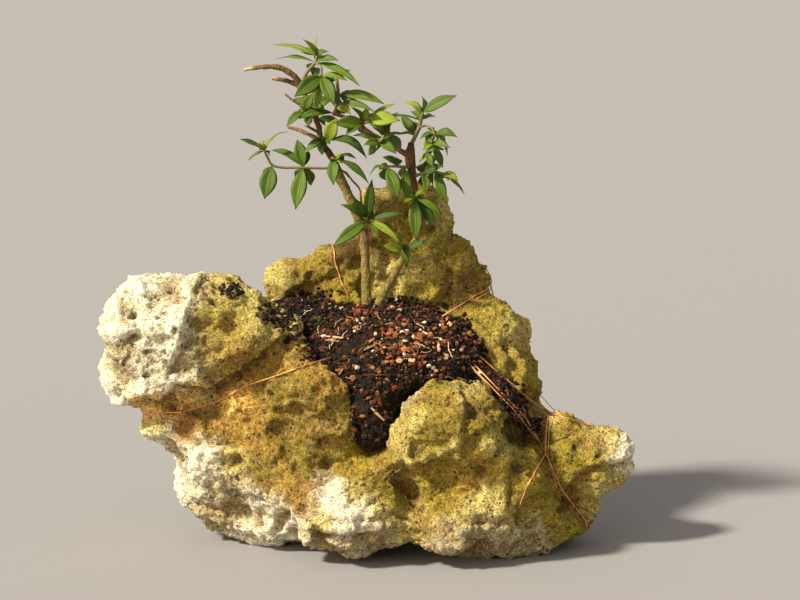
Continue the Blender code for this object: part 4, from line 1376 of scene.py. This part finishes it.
def partners(spray, points):
    """The leaves that the front view hides: one behind each leaf, and three young ones at the tip."""
    hidden = []
    for leaf in spray.leaves:
        root = Vector(points[leaf.at][:3])
        reach = Vector(leaf.tip) - root
        across = reach.x * chance.uniform(-0.25, 0.45)
        rise_now = reach.y * 0.5 + chance.uniform(-3, 5)
        back = reach.length * chance.uniform(0.55, 0.85)
        tip = tuple(root + Vector((across, rise_now, back)))
        width = leaf.width * chance.uniform(0.75, 1.0)
        hidden.append(Leaf(leaf.at, tip, width, chance.uniform(20, 70), 2, leaf.tone * 0.8))
    end = Vector(points[-1][:3])
    heading = (end - Vector(points[-2][:3])).normalized()
    for _ in range(3):
        stray = Vector([chance.uniform(-0.8, 0.8) for _ in range(3)]) + Vector((0, 0.2, 0))
        tip = end + (heading + stray).normalized() * chance.uniform(4, 8)
        face = chance.uniform(0, 80)
        hidden.append(Leaf(len(points) - 1, tuple(tip), chance.uniform(1.8, 2.8), face, 0.5, 0.95))
    return hidden


def shoot(name, spray):
    """A shoot's twigs and leaves as one piece."""
    growth = bmesh.new()
    tint = growth.verts.layers.float_color.new("leaf")
    ribs = growth.verts.layers.float_color.new("ribs")
    points = [point for twig in spray.twigs for point in twig]
    for twig in spray.twigs:
        colour = Vector(TWIG_GREEN).lerp(Vector(TWIG_RED), chance.random())
        rod(growth, spun(placed(twig), step=1.0), sides=8, tint=tint, colour=colour)
    for leaf in spray.leaves + partners(spray, points):
        leaf_blade(growth, tint, ribs, place(*points[leaf.at][:3]), leaf)
    piece = cast(name, growth)
    piece.data.shade_smooth()
    return piece


twig_skin, spot = start_material("twig_skin")
twig_tone = painted(spot, "leaf").shaded(0.7 + spot.cloud(1.5, 4) * 0.6)
twig_finish = {"Base Color": twig_tone, "Roughness": 0.6}
finish_material(twig_skin, twig_finish, spot.cloud(0.7, 3), relief=0.15)

leaf_skin, spot = start_material("leaf_skin")
leaf_map = painted(spot, "ribs")
map_across = leaf_map.share("Red")
map_along = leaf_map.share("Green")
from_rib = map_across.maths("ABSOLUTE", map_across - 0.5)
midrib = 1 - from_rib.between(0.012, 0.05)
side_ribs = map_along.maths("PINGPONG", map_along * 9 - from_rib * 5, 0.5)
side_ribs = (1 - side_ribs.between(0.02, 0.12)) * from_rib.between(0.03, 0.08)
cloudy = spot.cloud(5, 4, 0.6)
leaf_colour = painted(spot, "leaf").shaded(0.65 + cloudy * 0.7)
leaf_colour = leaf_colour.toward(RIB_GREEN, midrib * 0.32 + side_ribs * 0.06)
leaf_colour = leaf_colour.toward(TIP_BROWN, map_along.between(0.93, 1.0) * 0.6)
leaf_relief = cloudy * 0.2 - midrib * 0.8 - side_ribs * 0.35
leaf_finish = {"Base Color": leaf_colour, "Roughness": 0.46 + cloudy * 0.2, "Specular IOR Level": 0.3}
finish_material(leaf_skin, leaf_finish, leaf_relief, relief=0.25)
for name, spray in SPRAYS.items():
    piece = shoot(name + "_shoot", spray)
    piece.data.materials.append(twig_skin)
    piece.data.materials.append(leaf_skin)
    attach(piece, "root")
    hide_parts(name)

# The wires: three thin bare copper wires that tie the planting down. Each goes into the soil, is
# pulled tight round a neck or over a crest of the rock, and has gone brown.

BRIGHT_COPPER = (0.88, 0.42, 0.16)
BROWN_COPPER = (0.45, 0.17, 0.07)
WIRE_RADIUS = 0.42

# How far a wire's middle stands off what it lies on, at how many places between two points it is tried
# for what is in its way, how deep under it the search starts and how far out it goes.
WIRE_LIFT = 0.5
WIRE_TRIALS = 12
WIRE_UNDER = 0.4
WIRE_SEARCH = 15

# A point with two numbers is where the front view shows the wire on what it lies on, and a point with
# three gives its depth too and is moved to the nearest surface.
WIRE_ROUTES = {
    "wire_left": [
        (-20, 116), (-37, 111), (-54, 105), (-76, 98), (-93, 88), (-116, 81), (-128, 81), (-139, 84, 6),
        (-139, 80, 24), (-130, 82, 44), (-90, 100, 70), (-55, 140, 90), (-32, 172, 90), (-24, 186, 66),
        (-20, 177), (-15.5, 163), (-10.5, 154),
    ],
    "wire_right_high": [
        (48, 141), (62, 150), (76, 159, 52), (83, 164, 66), (95, 130, 92), (110, 95, 78), (128, 74, 36),
        (141, 72), (130, 76), (111, 82), (69, 118),
    ],
    "wire_right_low": [
        (68, 111), (100, 78), (110, 62), (116, 49), (123, 33), (138, 13), (140, 10, 25),
        (130, 40, 60), (122, 62, 50), (118, 78, 20), (114, 70), (113, 55), (108, 46), (101, 34),
        (96, 21),
    ],
}

# Loose strands beside the wires: the route of each, half its thickness, and how rusty it is, up to 1.
STRANDS = [
    ([(70, 152.5), (78, 157, 54), (83, 161, 62)], 0.35, 0.3),
    ([(82, 161, 62), (78, 166, 60), (72, 169.5, 56)], 0.3, 1.0),
    ([(112, 80), (120, 75.5), (127.6, 70.9)], 0.3, 0.1),
    ([(118.7, 63), (126, 65.2), (133.3, 70.4)], 0.35, 1.0),
    ([(110, 83), (124, 78), (138, 72, 30)], 0.25, 0.7),
    ([(113.5, 56), (116.5, 45), (119.8, 34.5)], 0.35, 0.3),
    ([(118.7, 78.2), (115.6, 70), (114.6, 56)], 0.3, 0.5),
    ([(112, 79.8), (112.6, 70), (112.8, 58)], 0.3, 0.6),
    ([(120, 33), (129, 23), (138, 15, 0)], 0.25, 0.9),
    ([(122, 31), (131, 20, 0), (140, 12, 0)], 0.22, 0.9),
    ([(118, 30), (127, 20), (135, 11, 0)], 0.22, 0.9),
    ([(66, 109), (99, 77)], 0.28, 0.4),
    ([(72, 116), (104, 87)], 0.28, 0.5),
    ([(64, 112), (92, 84), (111, 60)], 0.28, 0.3),
]


def seat(point):
    """A route point lifted clear of the stone or soil that the wire lies on, and the way it may bend there.

    Where the front shows the wire it bends only toward that view, which keeps it straight in it.
    """
    if len(point) == 2:
        hit, normal = front_hit(ground_skin, *point)
        return hit + normal * WIRE_LIFT * MM, (EYE * MM - hit).normalized()
    hit, normal, _, _ = ground_skin.find_nearest(place(*point))
    return hit + normal * WIRE_LIFT * MM, normal


def pulled(start, end, out, bends):
    """The points after start of a wire pulled straight to end, bent outward over what is in its way."""
    way = (end - start).normalized()
    out = (out - way * out.dot(way)).normalized()
    highest = -WIRE_UNDER * MM
    middle = None
    for step in range(1, WIRE_TRIALS):
        point = start.lerp(end, step / WIRE_TRIALS)
        hit, normal, _, _ = ground_skin.ray_cast(point - out * WIRE_UNDER * MM, out, WIRE_SEARCH * MM)
        if hit is not None and normal.dot(out) > 0 and (hit - point).dot(out) > highest:
            highest = (hit - point).dot(out)
            middle = hit + out * WIRE_LIFT * MM
    if bends == 0 or middle is None:
        return [end]
    return pulled(start, middle, out, bends - 1) + pulled(middle, end, out, bends - 1)


def wire_line(route):
    """A wire's points, in metres, pulled tight from knot to knot over stone and soil."""
    knots = [seat(point) for point in route]
    line = [knots[0][0]]
    for (start, out), (end, next_out) in zip(knots, knots[1:]):
        line += pulled(start, end, out + next_out, bends=4)
    return line


copper, spot = start_material("brown_copper")
tarnish = spot.cloud(3, 4, 0.6)
copper_tone = tarnish.between(0.44, 0.68).from_to(BRIGHT_COPPER, BROWN_COPPER)
copper_finish = {"Base Color": copper_tone, "Metallic": 0.45, "Roughness": 0.38 + tarnish * 0.25}
finish_material(copper, copper_finish, tarnish, relief=0.08)
for name, route in WIRE_ROUTES.items():
    wire = bmesh.new()
    rod(wire, [(point, WIRE_RADIUS * MM) for point in wire_line(route)], sides=8)
    piece = cast(name + "_copper", wire)
    piece.data.shade_smooth()
    piece.data.materials.append(copper)
    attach(piece, "root")
    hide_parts(name)

strand_finish, spot = start_material("old_strands")
strand_look = {"Base Color": painted(spot, "strand"), "Roughness": 0.6}
finish_material(strand_finish, strand_look, spot.cloud(1, 3), relief=0.1)
tangle = bmesh.new()
strand_tint = tangle.verts.layers.float_color.new("strand")
for route, thick, rust in STRANDS:
    colour = Vector(BRIGHT_COPPER).lerp(Vector(RUST) * 0.4, rust)
    rows = [(point, thick * MM) for point in wire_line(route)]
    rod(tangle, rows, sides=6, tint=strand_tint, colour=colour)
strands = cast("loose_strands", tangle)
strands.data.shade_smooth()
strands.data.materials.append(strand_finish)
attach(strands, "root")

# The floor and the light: a wide, plain pale floor, a warm, softened light high on the left in front, a
# weak low one beside it that reaches under the ledges, and an even sky. The camera stands where the
# picture was taken.

# The floor's width is in metres.
FLOOR_WIDTH = 80
PLASTER = (0.30, 0.29, 0.30)
SKY = (0.86, 0.81, 0.73)

slab = bmesh.new()
bmesh.ops.create_grid(slab, x_segments=1, y_segments=1, size=FLOOR_WIDTH / 2)
floor = cast("floor", slab)
plaster, spot = start_material("plaster")
finish_material(plaster, {"Base Color": (*PLASTER, 1), "Roughness": 0.9})
floor.data.materials.append(plaster)


def far_light(name, colour, strength, spread, side):
    """A light far off on one side, softened over so many degrees."""
    light = bpy.data.lights.new(name, "SUN")
    light.angle = math.radians(spread)
    light.energy = strength
    light.color = colour
    holder = new_piece(name, light)
    holder.rotation_euler = Vector(side).to_track_quat("Z", "Y").to_euler()


far_light("sun", colour=(1.0, 0.93, 0.78), strength=6.0, spread=7, side=(-1.6, -0.85, 1.6))
far_light("fill", colour=(1.0, 0.82, 0.60), strength=1.4, spread=50, side=(-1, -1, 0.12))
sky = bpy.data.worlds.new("sky")
bpy.context.scene.world = sky
sky.use_nodes = True
sky.node_tree.nodes["Background"].inputs["Color"].default_value = (*SKY, 1)
sky.node_tree.nodes["Background"].inputs["Strength"].default_value = 0.55
bpy.context.scene.view_settings.view_transform = "Standard"

# The lens shows as much as the picture does from where it was taken.
camera = bpy.data.cameras.new("camera")
camera.lens = 100
camera.sensor_width = 36
stand = new_piece("camera", camera)
stand.location = EYE * MM
stand.rotation_euler = (math.radians(90) - SIGHT_TILT, 0, 0)
bpy.context.scene.camera = stand
